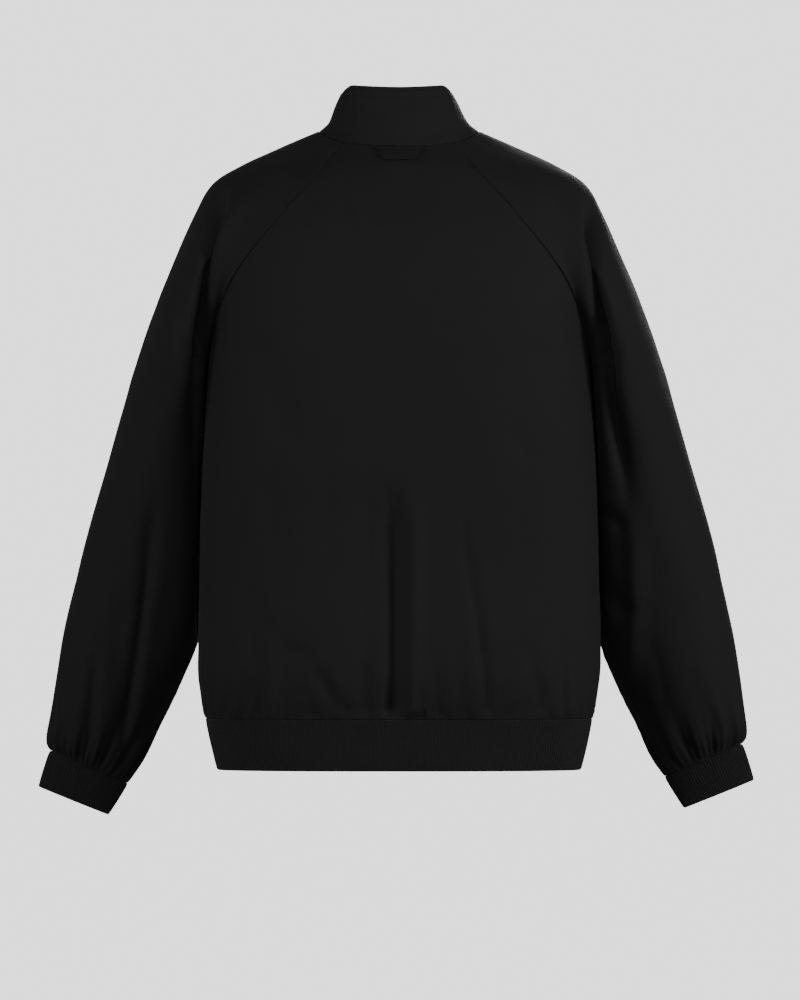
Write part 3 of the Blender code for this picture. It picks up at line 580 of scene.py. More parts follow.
# --- panels ---
SEAM_STEPS = np.concatenate([[0, 0.012, 0.03, 0.055], np.linspace(0.09, 5.9, 96),
                             [5.95, 5.98, UNDERARM_STEP]])
SIDE_LENGTH = HEM_SEAM_DROP - UNDERARM_DROP
LOWER_DROPS = np.concatenate([UNDERARM_DROP + np.linspace(3.0, SIDE_LENGTH - 4.6, 112),
                              HEM_SEAM_DROP - EDGE_LINES[-2::-1]])
BACK_COLUMNS = 180
FRONT_COLUMNS = 92
SLEEVE_COLUMNS = 184
PANEL_POINTS = 901
NECK_DIP_REACH = 90.0
QUIET_BY_EDGE = 12.0
FULLER_BELOW = 250.0
# Soft unevenness of the panels, and below of the sleeves and the collar, in layers of a size, a
# wave length and a seed.
PANEL_BUMPS = ((0.55, 74.0, 5), (0.16, 23.0, 8))


def outer_edge(angles, drops):
    """Angles and drops down a panel's raglan seam, then down the side of the body."""
    return (np.concatenate([angles, np.full(len(LOWER_DROPS), UNDERARM_ANGLE)]),
            np.concatenate([drops, LOWER_DROPS]))


BACK_EDGE = outer_edge(*RAGLAN.each(SEAM_STEPS)[:2])
FRONT_EDGE = outer_edge(*RAGLAN.each(SEAM_STEPS)[2:])


def seam_normals(angles, drops):
    """Normals of the smooth body along a sewn edge, which both pieces sewn there share."""
    sway = body_point(angles + 0.4, drops) - body_point(angles - 0.4, drops)
    fall = body_point(angles, drops + 1.0) - body_point(angles, drops - 1.0)
    return turned_out(unit(np.cross(sway, fall)), body_point(angles, drops) * LEVEL)


def turned_by_seam(normals, distance, shared, strength=1.0):
    """Normals that turn to the shared ones of a sewn edge close to it."""
    near = (np.clip(1 - distance / SEAM_TURN_REACH, 0.0, 1.0) ** 2 * strength)[..., None]
    return unit(normals * (1 - near) + shared[:, None] * near)


def finished_panel(grid, folds, creases, way_shift, first_edge, last_edge=None):
    """Outer and inner points of a panel with creases, gathers and rolled edges, and normals."""
    pull_back(grid)
    normals = grid_normals(grid, grid * LEVEL)
    inside, way = from_edges(grid, FLAT_BY_EDGE)
    normals = turned_by_seam(normals, way, first_edge)
    if last_edge is not None:
        normals = turned_by_seam(normals, way[:, -1:] - way, last_edge)
    near_edge = from_ends(way)
    drop = -grid[..., 2]
    above = HEM_SEAM_DROP - drop
    middle = way_shift(way)
    height = fold_height(folds, grid[..., 0], drop) * ease(above / FLAT_BY_BAND)
    height += fold_height(creases, grid[..., 0], drop) * ease(above / 5.0)
    height += gather_height(middle, above, **WAIST_GATHER)
    height += gather_height(middle, above, **WAIST_PUCKER)
    height *= inside
    large, small = (size * soft_noise(grid, wave, seed) for size, wave, seed in PANEL_BUMPS)
    low = 0.6 + 0.9 * ease((drop - FULLER_BELOW) / FULLER_BELOW)
    height += (large * low + small) * (ease(near_edge / QUIET_BY_EDGE) * ease(above / 6.0))
    height += seam_pucker(near_edge, drop)
    inner = grid + normals * (height - CLOTH)[..., None]
    top = way_along(grid[:, grid.shape[1] // 2])
    height += roll(near_edge) + roll(above) * (near_edge > 0) + roll(top)[:, None]
    outer = grid + normals * height[..., None]
    return outer, inner, grid_normals(outer, normals)


def back_grid():
    angles, drops = BACK_EDGE
    spread = np.linspace(-1.0, 1.0, PANEL_POINTS)
    grid = []
    for angle, drop in zip(angles, drops):
        dip = NECK_BACK_DIP * (1 - np.abs(spread) ** 1.5) * (1 - ease(drop / NECK_DIP_REACH))
        grid.append(edged(body_point(spread * angle, drop + dip), BACK_COLUMNS))
    return finished_panel(np.array(grid), BACK_FOLDS, BACK_CREASES,
                          lambda way: way - way[:, -1:] / 2,
                          seam_normals(-angles, drops), seam_normals(angles, drops))


def front_grid(side):
    angles, drops = FRONT_EDGE
    sunk = np.clip((drops - drops[0]) / (UNDERARM_DROP - drops[0]), 0.0, 1.0)
    zip_drops = np.maximum(drops, NECK_FRONT_DROP + (UNDERARM_DROP - NECK_FRONT_DROP) * sunk)
    part = np.linspace(0.0, 1.0, PANEL_POINTS)
    grid = []
    for angle, drop, zip_drop in zip(angles, drops, zip_drops):
        level = zip_drop + (drop - zip_drop) * (1 - part) ** NECK_CURVE
        turn = angle + (angle_before_zip(level) - angle) * part
        grid.append(edged(body_point(turn, level), FRONT_COLUMNS))
    panel = finished_panel(np.array(grid), FRONT_FOLDS, FRONT_CREASES,
                           lambda way: way + ZIP_EDGE, seam_normals(angles, drops))
    return [points * (SIDES[side], 1.0, 1.0) for points in panel]


# --- sleeves ---
CLOSING_STEP = 3.0
SEAM_RISE = (0.0, 0.0, 25.0)
CLEAR_SOFT = 0.012
CLEAR_REACH = 0.08


def ring_guides(rings, step):
    over_x, over_drop, under_x, under_drop, middle, depth = rings.each(step)
    over = last_axis(over_x, middle, -over_drop)
    under = last_axis(under_x, middle, -under_drop)
    centre = (over + under) / 2
    half = last_axis(0, depth, 0)
    return np.stack([under, centre + half, over, centre - half, under], axis=-2)


def sleeve_guides(step, side):
    keys = np.concatenate([SHOULDER["step"], ARM["step"][1:]])
    top = SHOULDER.at(SHOULDER["step"]).reshape(-1, 3, 3) * (1, 1, -1)
    lines = np.concatenate([top, ring_guides(ARM, ARM["step"][1:])[:, [2, 1, 3]]])
    over, back, front = np.moveaxis(curve_through(keys, lines.reshape(len(keys), 9), step)
                                    .reshape(-1, 3, 3), 1, 0)
    sag = SHOULDER_SAG[side] * np.maximum(0.0, 1 - np.abs(step - SAG_STEP) / SAG_STEP) ** 1.5
    over = over - last_axis(0, 0, sag)
    back_angle, back_drop, front_angle, front_drop = RAGLAN.each(step)
    under = ring_guides(ARM, step)[:, 0]
    is_open = (step <= UNDERARM_STEP)[:, None]
    first = np.where(is_open, body_point(back_angle, back_drop), under)
    last = np.where(is_open, body_point(front_angle, front_drop), under)
    return np.stack([first, back, over, front, last], axis=1)


def arc_scale(first, second):
    turn = np.arccos(np.clip(dot(first, second), -0.17, 0.9999))
    return 4 * np.tan(turn / 4) / np.sin(turn)


def ring_through(guides, directions, columns):
    share = np.linspace(0.0, 4.0, columns + 1)
    piece = np.minimum(share.astype(int), 3)
    part = (share - piece)[None, :, None]
    start, end = guides[:, piece], guides[:, piece + 1]
    leave, arrive = directions[:, piece], directions[:, piece + 1]
    gap = end - start
    scale = arc_scale(leave, arrive)
    return cubic(part, start, leave * np.abs(dot(gap, leave)) * scale,
                 end, arrive * np.abs(dot(gap, arrive)) * scale)


def ring_directions(guides, step):
    """Directions of a ring at its five guides, which leave an open seam along the body."""
    under, back, over, front, last = np.moveaxis(guides, 1, 0)
    across = unit(back - front)
    closing = ease((step - CLOSING_STEP) / (UNDERARM_STEP - CLOSING_STEP))[:, None]
    ends = []
    for seam, way in (under, back - under), (last, last - front):
        normal = unit(seam * LEVEL + SEAM_RISE)
        way = unit(way - normal * dot(way, normal))
        ends.append(unit(way * (1 - closing) + across * closing))
    return np.stack([ends[0], unit(over - under), -across, unit(last - over), ends[1]], axis=1)


def clear_of_body(grid, room):
    """Push a sleeve's points out of the body, softly, where they come close to it."""
    x, y, z = np.moveaxis(grid, -1, 0)
    width, back, front, square = BODY.each(-z)
    depth = np.where(y > 0, back, front)
    reach = ((np.abs(x) / width) ** square + (np.abs(y) / depth) ** square) ** (1 / square)
    wanted = 1 + room / np.hypot(x, y)
    pushed = wanted + CLEAR_SOFT * np.logaddexp(0.0, (reach - wanted) / CLEAR_SOFT)
    scale = np.where(reach < wanted + CLEAR_REACH, pushed / reach, 1.0)
    return grid * last_axis(scale, scale, 1)


def hang(grid, step, side):
    shift_x, shift_z = CUFF_SHIFT[side]
    share = ease((np.asarray(step) - HANG_STEP) / (CUFF_STEP - HANG_STEP))
    share = share.reshape(-1, 1)
    return (grid + share[..., None] * (shift_x, 0, shift_z)) * (SIDES[side], 1, 1)


# How the sleeve lies against the side of the body.  In front of its middle line it shifts, with
# a place, a reach and a size; behind that line its corner is square.  Each has the drops at which
# it starts, is full, begins to fade and ends.
HUG_BEFORE = (-34.0, 26.0, 15.0)
HUG_DROPS = (225.0, 262.0, 470.0, 540.0)
CORNER_SQUARE = 0.85
CORNER_DROPS = (140.0, 205.0, 480.0, 580.0)
CORNER_ROOM = 1.0
HUG_EDGE = 9.0


def share_of_drops(drop, limits):
    start, full, still, end = limits
    return ease((drop - start) / (full - start)) * (1 - ease((drop - still) / (end - still)))


def hugging(rings, guides, from_seam):
    """Let the inner side of a sleeve lie round the side of the body, as limp cloth does."""
    centre = (guides[:, 1] + guides[:, 3]) / 2
    half = np.maximum((guides[:, 2] - guides[:, 0])[:, 0] / 2, 1.0)[:, None]
    deep = np.maximum((guides[:, 1] - guides[:, 3])[:, 1] / 2, 1.0)[:, None]
    inner = ease((centre[:, :1] - rings[..., 0]) / half)
    drop = -rings[..., 2]
    place, reach, size = HUG_BEFORE
    before = bell(rings[..., 1] - centre[:, 1:2] - place, reach)
    shift = size * before * inner * share_of_drops(drop, HUG_DROPS)
    behind = (rings[..., 1] - centre[:, 1:2]) / deep
    square = ease(behind / 0.2) * (1 - ease((behind - 0.6) / 0.4)) * CORNER_SQUARE
    beyond = np.maximum(0.0, rings[..., 0] - BODY.each(drop)[0] - CORNER_ROOM)
    inside = rings[..., 0] < centre[:, :1]
    shift += beyond * square * inside * share_of_drops(drop, CORNER_DROPS)
    return rings - last_axis(shift * from_seam, 0, 0)


SLEEVE_STEPS = np.concatenate([SEAM_STEPS, np.linspace(UNDERARM_STEP + 0.07, 15.8, 150),
                               [15.86, 15.91, 15.95, 15.98, CUFF_STEP]])
UNDER_SEAM_SHIFT = {"left": -7.0, "right": 9.0}
UNDER_SEAM_DEPTH = 1.1
UNDER_SEAM_REACH = 1.5
SEWN_STEP = 5.95
SEWN_FADE = 0.25
RING_POINTS = 480
SLEEVE_BUMPS = {"left": ((0.6, 70.0, 11), (0.16, 22.0, 12)),
                "right": ((0.6, 70.0, 31), (0.16, 22.0, 12))}


def plain_sleeve(guides, closed):
    """The sleeve's surface without creases, laid against the side of the body."""
    step = SLEEVE_STEPS
    dense = ring_through(guides, ring_directions(guides, step), RING_POINTS)
    from_seam, _ = from_edges(dense, FLAT_BY_ARMHOLE)
    below = ease((step - 5.0) / 1.5)[:, None]
    room = BODY_ROOM * np.maximum(from_seam, below) * ease(step / 3.0)[:, None]
    is_seam = ~closed & (from_seam < 1e-6)
    seam_way, _ = from_edges(dense, HUG_EDGE)
    dense = hugging(dense, guides, np.where(closed, 1.0, seam_way))
    cleared = dense + (clear_of_body(dense, room) - dense) * ease(step)[:, None, None]
    dense = np.where(is_seam[..., None], dense, cleared)
    return np.array([edged(ring, SLEEVE_COLUMNS) for ring in dense])


def sleeve_creases(side, x, drop, normals):
    """Height of the creases on the back and the front, and how far the cloth faces back."""
    to_back = ease(normals[..., 1] * 1.6 + 0.1)
    to_front = ease(-normals[..., 1] * 1.6 + 0.1)
    height = fold_height(SLEEVE_BACK_FOLDS[side], x, drop) * to_back
    return height + fold_height(SLEEVE_FRONT_FOLDS, x, drop) * to_front, to_back


def sleeve_valley(side, x, drop, share):
    """Height of the valley beside the body, and how far its inner lip laps over it."""
    middle, depth, inner_width, outer_width = SLEEVE_VALLEY[side].each(drop)
    width = np.where(x < middle, inner_width, outer_width)
    power = np.where(x < middle, 2.0, VALLEY_FLANK)
    depth = depth * share
    lap = VALLEY_LAP * depth * bell(x - middle + VALLEY_CREST * inner_width, inner_width)
    return -depth * np.exp(-(np.abs(x - middle) / width) ** power), last_axis(lap, 0, 0)


def sleeve_grid(side):
    """Outer and inner points of a sleeve, its normals, and its first row that is a ring."""
    step = SLEEVE_STEPS
    guides = sleeve_guides(step, side)
    is_closed = step >= UNDERARM_STEP
    closed = is_closed[:, None]
    grid = plain_sleeve(guides, closed)
    pull_back(grid, ~is_closed)
    from_seam, way = from_edges(grid, FLAT_BY_ARMHOLE)
    near_edge = from_ends(way)
    normals = grid_normals(grid, grid - (guides[:, 1:2] + guides[:, 3:4]) / 2)
    join_ends(normals, is_closed)
    sewn = 1 - ease((step - SEWN_STEP) / SEWN_FADE)[:, None]
    back_angle, back_drop, front_angle, front_drop = RAGLAN.each(step)
    for distance, shared in ((way, seam_normals(back_angle, back_drop)),
                             (way[:, -1:] - way, seam_normals(front_angle, front_drop))):
        normals = turned_by_seam(normals, distance, shared, sewn)

    x, drop = grid[..., 0], -grid[..., 2]
    above = np.linalg.norm(guides[:, 2] - guides[-1:, 2], axis=-1)[:, None]
    height, to_back = sleeve_creases(side, x, drop, normals)
    off_body = ease((x - BODY_SIDE) / SLEEVE_CONTACT + (drop > CONTACT_END_DROP))
    free = np.where(closed, 1.0, from_seam) * ease(above / FLAT_BY_CUFF)
    height = np.where(height > 0, height * off_body, height) * free
    in_valley = to_back * np.where(closed, 1.0, ease(near_edge / VALLEY_EDGE))
    valley, lap = sleeve_valley(side, x, drop, in_valley)
    turn = 2 * np.pi * (way / way[:, -1:])
    gathers = np.sin(CUFF_GATHERS * turn + 1.6 * np.sin(2 * turn))
    puckers = np.sin(CUFF_PUCKERS * turn + 1.9 * np.sin(3 * turn + 1.0))
    height += valley
    height += CUFF_GATHER_HEIGHT * gathers * hump(above, CUFF_GATHER_REACH)
    height += CUFF_PUCKER_HEIGHT * puckers * hump(above, CUFF_PUCKER_REACH)
    quiet = np.where(closed, 1.0, ease(near_edge / QUIET_BY_EDGE)) * ease(above / 8.0)
    bumps = sum(size * soft_noise(grid, wave, seed) for size, wave, seed in SLEEVE_BUMPS[side])
    height += bumps * quiet * (0.35 + 0.65 * off_body)

    shift = UNDER_SEAM_SHIFT[side]
    from_under = np.abs(way - np.where(shift > 0, 0.0, way[:, -1:])
                        - shift * ease((step - UNDERARM_STEP) / 3.0)[:, None])
    groove = -UNDER_SEAM_DEPTH * bell(from_under, UNDER_SEAM_REACH)
    groove = groove * ease(step - UNDERARM_STEP)[:, None]
    height += np.where(closed, groove + seam_pucker(from_under, drop), seam_pucker(near_edge, drop))
    height[is_closed, -1] = height[is_closed, 0]
    inner = grid + normals * (height - CLOTH)[..., None] + lap
    down = way_along(grid[:, SLEEVE_COLUMNS // 2])
    height += np.where(closed, 0.0, roll(near_edge)) + roll(above) + roll(down)[:, None]
    outer = grid + normals * height[..., None] + lap
    final = grid_normals(outer, normals)
    join_ends(final, is_closed)
    return (hang(outer, step, side), hang(inner, step, side), final * (SIDES[side], 1.0, 1.0),
            int(np.argmax(is_closed)))


# --- collar and bands ---
COLLAR_COLUMNS = 240
COLLAR_HEIGHT = 62.0
COLLAR_STITCHES = (3.0, 12.5)
NECK_SMOOTHING = 7
COLLAR_BUMPS = ((0.5, 60.0, 3), (0.12, 20.0, 4))
# The back of the collar swells in its middle and sinks above the seam, by a size, a height over
# the seam and a reach.  It rolls out by a size, a distance from the top edge and a reach.
COLLAR_SWELLS = ((1.6, 31.0, 10.0), (-1.2, 10.0, 9.0))
COLLAR_ROLL = (0.8, 8.0, 5.0)
GROOVE_DEPTH = 0.45
GROOVE_WIDTH = 0.8
# Distances of extra rows from each line of stitches, from the top edge and from the seam.
STITCH_FLANKS = np.array([-1.4, -0.7, -0.35, 0, 0.35, 0.7, 1.4])
TOP_LINES = np.array([0.0, 0.25, 0.6, 1.1])
SEAM_LINES = np.array([0.0, 0.5, 1.1, 2.0])


def neck_line(back, front, sleeve):
    middle = back.shape[1] // 2
    return np.concatenate([back[0, middle:], sleeve[0], front[0]])


def hollowed(half, parts):
    """Draw the rows of half a collar in towards the neck where they stand over the shoulder."""
    flat = half * LEVEL
    over_shoulder = (half[..., 0] / np.linalg.norm(flat, axis=-1)) ** 2
    return half - unit(flat) * (COLLAR_HOLLOW.at(parts) * over_shoulder)[..., None]


def collar_grid(back, front, sleeve):
    """Stand collar from inside the neck seam to its top edge, zip edge to zip edge."""
    shares = np.linspace(0.0, 1.0, COLLAR_COLUMNS // 2 + 1)
    bottom = evenly(neck_line(back, front, sleeve), shares)
    top = evenly(COLLAR_TOP.at(np.linspace(0.0, 1.0, 201)), shares)
    bottom[0, 0] = 0.0
    bottom[-1, 0] = ZIP_EDGE
    smooth = np.ones(NECK_SMOOTHING) / NECK_SMOOTHING
    padded = np.pad(bottom, ((NECK_SMOOTHING // 2,) * 2, (0, 0)), mode="edge")
    bottom[1:-1] = last_axis(*(np.convolve(row, smooth, "valid") for row in padded.T))[1:-1]
    seam_way = unit(np.gradient(bottom, axis=0))
    rise = top - bottom
    rise = unit(rise - seam_way * dot(rise, seam_way))
    bottom = bottom + rise * COLLAR_LIFT
    parts = np.unique(np.concatenate(
        [1 - (line + STITCH_FLANKS) / COLLAR_HEIGHT for line in COLLAR_STITCHES]
        + [1 - TOP_LINES / COLLAR_HEIGHT, SEAM_LINES / COLLAR_HEIGHT,
           np.linspace(0.06, 0.76, 16), np.linspace(0.83, 0.93, 4)]))
    half = hollowed(np.array([bottom + (top - bottom) * part for part in parts]), parts)
    right = half[:, :0:-1].copy()
    right[..., 0] *= RIGHT_COLLAR_LEAN * parts[:, None] - 1
    grid = np.concatenate([right, half], axis=1)
    normals = grid_normals(grid, grid * LEVEL)
    from_top = (1 - parts)[:, None] * COLLAR_HEIGHT
    from_seam = parts[:, None] * COLLAR_HEIGHT
    from_zip = from_ends(ways_across(grid))
    height = sum(size * soft_noise(grid, wave, seed, (1, 1, 1))
                 for size, wave, seed in COLLAR_BUMPS)
    height *= ease(from_seam / 8.0) * ease(from_top / 6.0) * ease(from_zip / 8.0)
    for line in COLLAR_STITCHES:
        height -= GROOVE_DEPTH * bell(from_top - line, GROOVE_WIDTH)
    back_side = ease(grid[..., 1] / 20.0)
    middle = np.exp(-((grid[..., 0] + 8.0) / 38.0) ** 4) * back_side
    for size, place, reach in COLLAR_SWELLS:
        height += size * middle * bell(from_seam - place, reach)
    size, place, reach = COLLAR_ROLL
    height += size * bell(from_top - place, reach) * back_side
    height += roll(from_seam) * 0.8
    half_wall = COLLAR_WALL / 2
    edge = np.minimum(np.minimum(from_top, from_zip), half_wall)
    shrink = half_wall - np.sqrt(np.maximum(half_wall ** 2 - (half_wall - edge) ** 2, 0.0))
    outer = grid + normals * (height - shrink * 0.9)[..., None]
    inner = grid + normals * (0.4 * height - COLLAR_WALL + shrink * 0.9)[..., None]
    return outer, inner, normals, parts


HEM_LEVELS = Table("drop inwards half", (
    (602, 4.6, 0.7),
    (606.4, 3.4, 0.8),
    (607.2, 1.3, 0.9),
    (607.8, 0.4, 1),
    (611, 0, 1),
    (618, -0.3, 1),
    (626, -0.4, 1),
    (634, -0.4, 1),
    (642, -0.3, 1),
    (650, -0.2, 1),
    (656, 0, 1),
    (659.4, 0.15, 0.95),
    (660.5, 0.55, 0.6),
    (HEM_DROP, 1, 0.1),
))
CUFF_LEVELS = Table("step inwards half", (
    (-0.1, 4.4, 0.7),
    (0, 2.4, 0.8),
    (0.015, 1.2, 0.9),
    (0.035, 0.4, 1),
    (0.12, -0.2, 1),
    (0.3, -0.4, 1),
    (0.5, -0.4, 1),
    (0.7, -0.3, 1),
    (0.86, -0.1, 1),
    (0.955, 0.1, 0.95),
    (0.985, 0.5, 0.6),
    (1, 1, 0.1),
))
CUFF_LENGTH = 40.0
BAND_POINTS = 2881
CUFF_RING_POINTS = 1600
RIB_SUNK = 0.3


def rib_profile(phase):
    """Rounded rib, 0 in the valley and 1 on top."""
    return (0.5 + 0.5 * np.cos(2 * np.pi * phase)) ** 0.65


def ribbed(grid, normals, phase, levels, uneven=0.0):
    """Outer and inner points of a knit band on its middle surface, a row for each level."""
    inwards, half = levels["inwards"][:, None], levels["half"][:, None]
    rise = RIB_RISE * (rib_profile(phase) * half - RIB_SUNK)
    outer = grid + normals * (rise - inwards + uneven)[..., None]
    inner = grid - normals * (inwards + RIB_WALL * half - uneven + 0 * phase)[..., None]
    return outer, inner


def rib_grid(rows, length):
    """Rows cut into the columns of ribs, and each column's place counted in ribs."""
    ribs = int(round(length / RIB_PITCH))
    shares = np.linspace(0.0, 1.0, ribs * RIB_COLUMNS + 1)
    return np.array([evenly(row, shares) for row in rows]), shares * ribs


def hem_rib():
    """Knit waist band: it starts behind the gathered cloth and ends in a folded edge."""
    drops = HEM_LEVELS["drop"]
    dense = []
    for drop in [HEM_SEAM_DROP, *drops]:
        edge = angle_before_zip(drop)
        dense.append(body_point(np.linspace(-edge, edge, BAND_POINTS), max(drop, HEM_SEAM_DROP)))
    grid, phase = rib_grid(dense[1:], way_along(dense[0])[-1])
    phase = phase + 0.5
    grid[..., 2] = -drops[:, None]
    sway = unit(np.gradient(grid, axis=1))
    normals = turned_out(last_axis(sway[..., 1], -sway[..., 0], 0), grid * LEVEL)
    uneven = 0.22 * soft_noise(grid, 46.0, 17, (1, 1, 1))
    outer, inner = ribbed(grid, normals, phase, HEM_LEVELS, uneven)
    return outer, inner, last_axis(phase * RIB_PITCH, -drops[:, None])


def cuff_rib(side):
    """Knit cuff: it starts inside the gathered sleeve and runs on past its own last ring."""
    step = np.clip(CUFF_LEVELS["step"], 0.0, 1.0)
    beyond = (CUFF_LEVELS["step"] - step)[:, None, None]
    guides = ring_guides(CUFF, step)
    axis = unit(guides[-1].mean(axis=0) - guides[1].mean(axis=0))
    guides = guides + beyond * axis * CUFF_LENGTH
    at_cuff = np.full(len(step), CUFF_STEP)
    dense = ring_through(guides, ring_directions(guides, at_cuff), CUFF_RING_POINTS)
    grid, phase = rib_grid(dense, way_along(dense[4])[-1])
    normals = grid_normals(grid, grid - guides[:, [1, 3]].mean(axis=1, keepdims=True))
    join_ends(normals)
    outer, inner = (hang(points, at_cuff, side)
                    for points in ribbed(grid, normals, phase, CUFF_LEVELS))
    return outer, inner, last_axis(phase * RIB_PITCH, -CUFF_LEVELS["step"][:, None] * CUFF_LENGTH)


# --- sewing ---
OUTSIDE = 400.0
STITCH_LENGTH = 2.3
STITCH_PITCH = 3.1
STITCH_RADIUS = 0.3
STITCH_RINGS = (  # along its length, and width and lift in radii
    (-0.5, 0.15, -0.3),
    (-0.32, 0.9, 0.0),
    (0.32, 0.9, 0.0),
    (0.5, 0.15, -0.3),
)


def tube_faces(sides, lengths):
    """Faces round a tube of rings, from one ring to the next."""
    return [(ring + k, ring + (k + 1) % sides, ring + sides + (k + 1) % sides, ring + sides + k)
            for ring in range(0, sides * lengths, sides) for k in range(sides)]


def stitch_rows(lines):
    """Points and faces of stitches along lines of (points, normals)."""
    around = np.arange(6) * math.pi / 3
    quads = tube_faces(6, 3) + [(5, 4, 3, 2), (5, 2, 1, 0), (18, 19, 20, 21), (18, 21, 22, 23)]
    points, faces = [], []
    for line, normals in lines:
        length = way_along(line)[-1]
        count = max(1, int(length / STITCH_PITCH))
        shares = (np.arange(count) + 0.5) / count
        spots, ups = evenly(line, shares), unit(evenly(line, shares, normals))
        ahead, behind = shares + 0.4 / count, shares - 0.4 / count
        runs = unit(evenly(line, np.minimum(ahead, 1)) - evenly(line, behind))
        sides = unit(np.cross(runs, ups))
        for spot, up, run, side in zip(spots, ups, runs, sides):
            start = len(points) * 24
            ring = [spot + run * along * STITCH_LENGTH + up * lift * STITCH_RADIUS
                    + (side * math.cos(a) + up * math.sin(a)) * wide * STITCH_RADIUS
                    for along, wide, lift in STITCH_RINGS for a in around]
            points.append(ring)
            faces.extend([[start + k for k in quad] for quad in quads])
    return np.array(points).reshape(-1, 3), np.array(faces)


def row_at(grid, normals, place, lift=0.1):
    """A line across a grid at a fractional row, just over its surface."""
    low = int(place)
    part = place - low
    points = grid[low] * (1 - part) + grid[min(low + 1, len(grid) - 1)] * part
    return points + normals[low] * lift, normals[low]


def line_over(tree, places, facing, lift):
    """Points and normals on a surface straight behind or before places of (x, drop)."""
    points, normals = [], []
    for x, drop in places:
        start = Vector((x * MM, facing * OUTSIDE * MM, -drop * MM))
        spot, normal, _, _ = tree.ray_cast(start, Vector((0, -facing, 0)))
        if spot is None:
            spot, normal, _, _ = tree.find_nearest(start)
        normal = np.array(normal) * math.copysign(1.0, normal[1] * facing)
        points.append(np.array(spot) / MM + normal * lift)
        normals.append(normal)
    return np.array(points), np.array(normals)


def surface_tree(piece):
    return BVHTree.FromPolygons([point.co[:] for point in piece.data.vertices],
                                [face.vertices[:] for face in piece.data.polygons])


# --- things on the panels ---
WELT_LINE = ((88, 405), (132, 535))
WELT_HALF_WIDTH = 11.0
WELT_LIFT = 0.25
WELT_WALL = 1.5
WELT_BULGE = 0.5
WELT_SEWING = 9.0


def side_ways(line):
    """Directions across a line of (x, drop)."""
    run = unit(np.gradient(line, axis=0))
    return last_axis(-run[:, 1], run[:, 0])


def pocket_welt(tree, line):
    """Strip with soft edges, laid on a front along a line of (x, drop)."""
    outer, inner = [], []
    for share in np.sin(np.linspace(-math.pi / 2, math.pi / 2, 13)):
        places = line + side_ways(line) * share * WELT_HALF_WIDTH
        points, normals = line_over(tree, places, -1, 0.0)
        edge = min(1.0, WELT_HALF_WIDTH * (1 - abs(share)) / WELT_WALL)
        closing = math.sqrt(edge * (2 - edge))
        rise = WELT_LIFT + WELT_WALL * (0.35 + 0.65 * closing) + WELT_BULGE * (1 - share ** 2)
        outer.append(points + normals * rise)
        inner.append(points + normals * WELT_LIFT)
    return np.array(outer), np.array(inner)


LOOP_TOP = 25.5
LOOP_BOTTOM = 16.8
LOOP_DROP = 9.4
LOOP_TAPE = 13.8
LOOP_SAG = 0.8
LOOP_LIFT = 0.5
LOOP_BULGE = 1.6
LOOP_WALL = 0.45
LOOP_EDGE = 0.6
# The fold beside each end of the loop: its height, its place, its slant and its width.
LOOP_FOLD = 0.25
LOOP_FOLD_PLACE = 15.5
LOOP_FOLD_SLANT = 6.0
LOOP_FOLD_WIDTH = 1.2


def hanger_tape(tree):
    """Flat loop of tape whose ends fold up into the neck seam, so its outline is a trapezoid."""
    outer, inner = [], []
    spread = np.sin(np.linspace(-math.pi / 2, math.pi / 2, 41))
    for part in np.linspace(0.0, 1.0, 15):
        half_width = LOOP_TOP + (LOOP_BOTTOM - LOOP_TOP) * part
        drop = LOOP_DROP + LOOP_TAPE * part
        places = last_axis(half_width * spread, drop + LOOP_SAG * (1 - spread ** 2) * part)
        points, normals = line_over(tree, places, 1, 0.0)
        edge = np.minimum(LOOP_TAPE * min(part, 1 - part), half_width * (1 - np.abs(spread)))
        closing = np.sqrt(np.clip(edge / LOOP_EDGE, 0.0, 1.0))
        lift = LOOP_LIFT + LOOP_BULGE * ease(part * 1.2) * (1 - 0.6 * spread ** 4)
        from_fold = np.abs(spread) * half_width - LOOP_FOLD_PLACE - LOOP_FOLD_SLANT * (1 - part)
        rise = lift + LOOP_WALL + 0.5 * closing + LOOP_FOLD * bell(from_fold, LOOP_FOLD_WIDTH)
        outer.append(points + normals * rise[:, None])
        inner.append(points + normals * (lift + 0.4 * (1 - closing))[:, None])
    return np.array(outer), np.array(inner)


# --- zip ---
ZIP_SECTION = np.array([  # x from the middle, and how far the tape stands back there
    (0.2, 0.5),
    (0.6, 0.2),
    (1.6, 0.05),
    (2.4, 0.0),
    (2.8, -0.1),
    (4.0, 0.0),
    (5.5, 0.0),
    (7.0, 0.0),
    (9.0, 0.0),
    (11.5, 0.0),
    (14.0, 0.0),
])
TAPE_WALL = 1.2
TAPE_CLEARANCE = 0.75
COLLAR_SEAM_DROP = 62.0
BAND_TOP_DROP = 600.0
SLIDER_DROP = 9.0
TOOTH_PITCH = 2.5
TOOTH_LIFT = 0.55
TOOTH_RINGS = (  # x, half height, half depth
    (-1.35, 0.30, 0.55),
    (-1.1, 0.55, 0.85),
    (0.6, 0.50, 0.95),
    (2.0, 0.48, 1.0),
    (2.4, 0.30, 0.8),
)


def body_front(x, drops):
    """Y of the smooth front of the body at x."""
    width, _, front, square = BODY.each(drops)
    return -front * (1 - (np.abs(x) / width) ** square) ** (1 / square)


def front_line(collar, x, drops):
    """Y of the outer cloth at x beside the zip: collar, then body, then waist band."""
    body = body_front(x, np.minimum(drops, HEM_SEAM_DROP))
    ends = np.array([HEM_SEAM_DROP, HEM_DROP])
    band = np.interp(drops, ends, body_front(x, ends))
    edge = collar[:, -1]
    order = np.argsort(edge[:, 2])
    stand = np.interp(-drops, edge[order, 2], edge[order, 1])
    return np.select([-drops > edge[:, 2].min(), drops > HEM_SEAM_DROP], [stand, band], body)


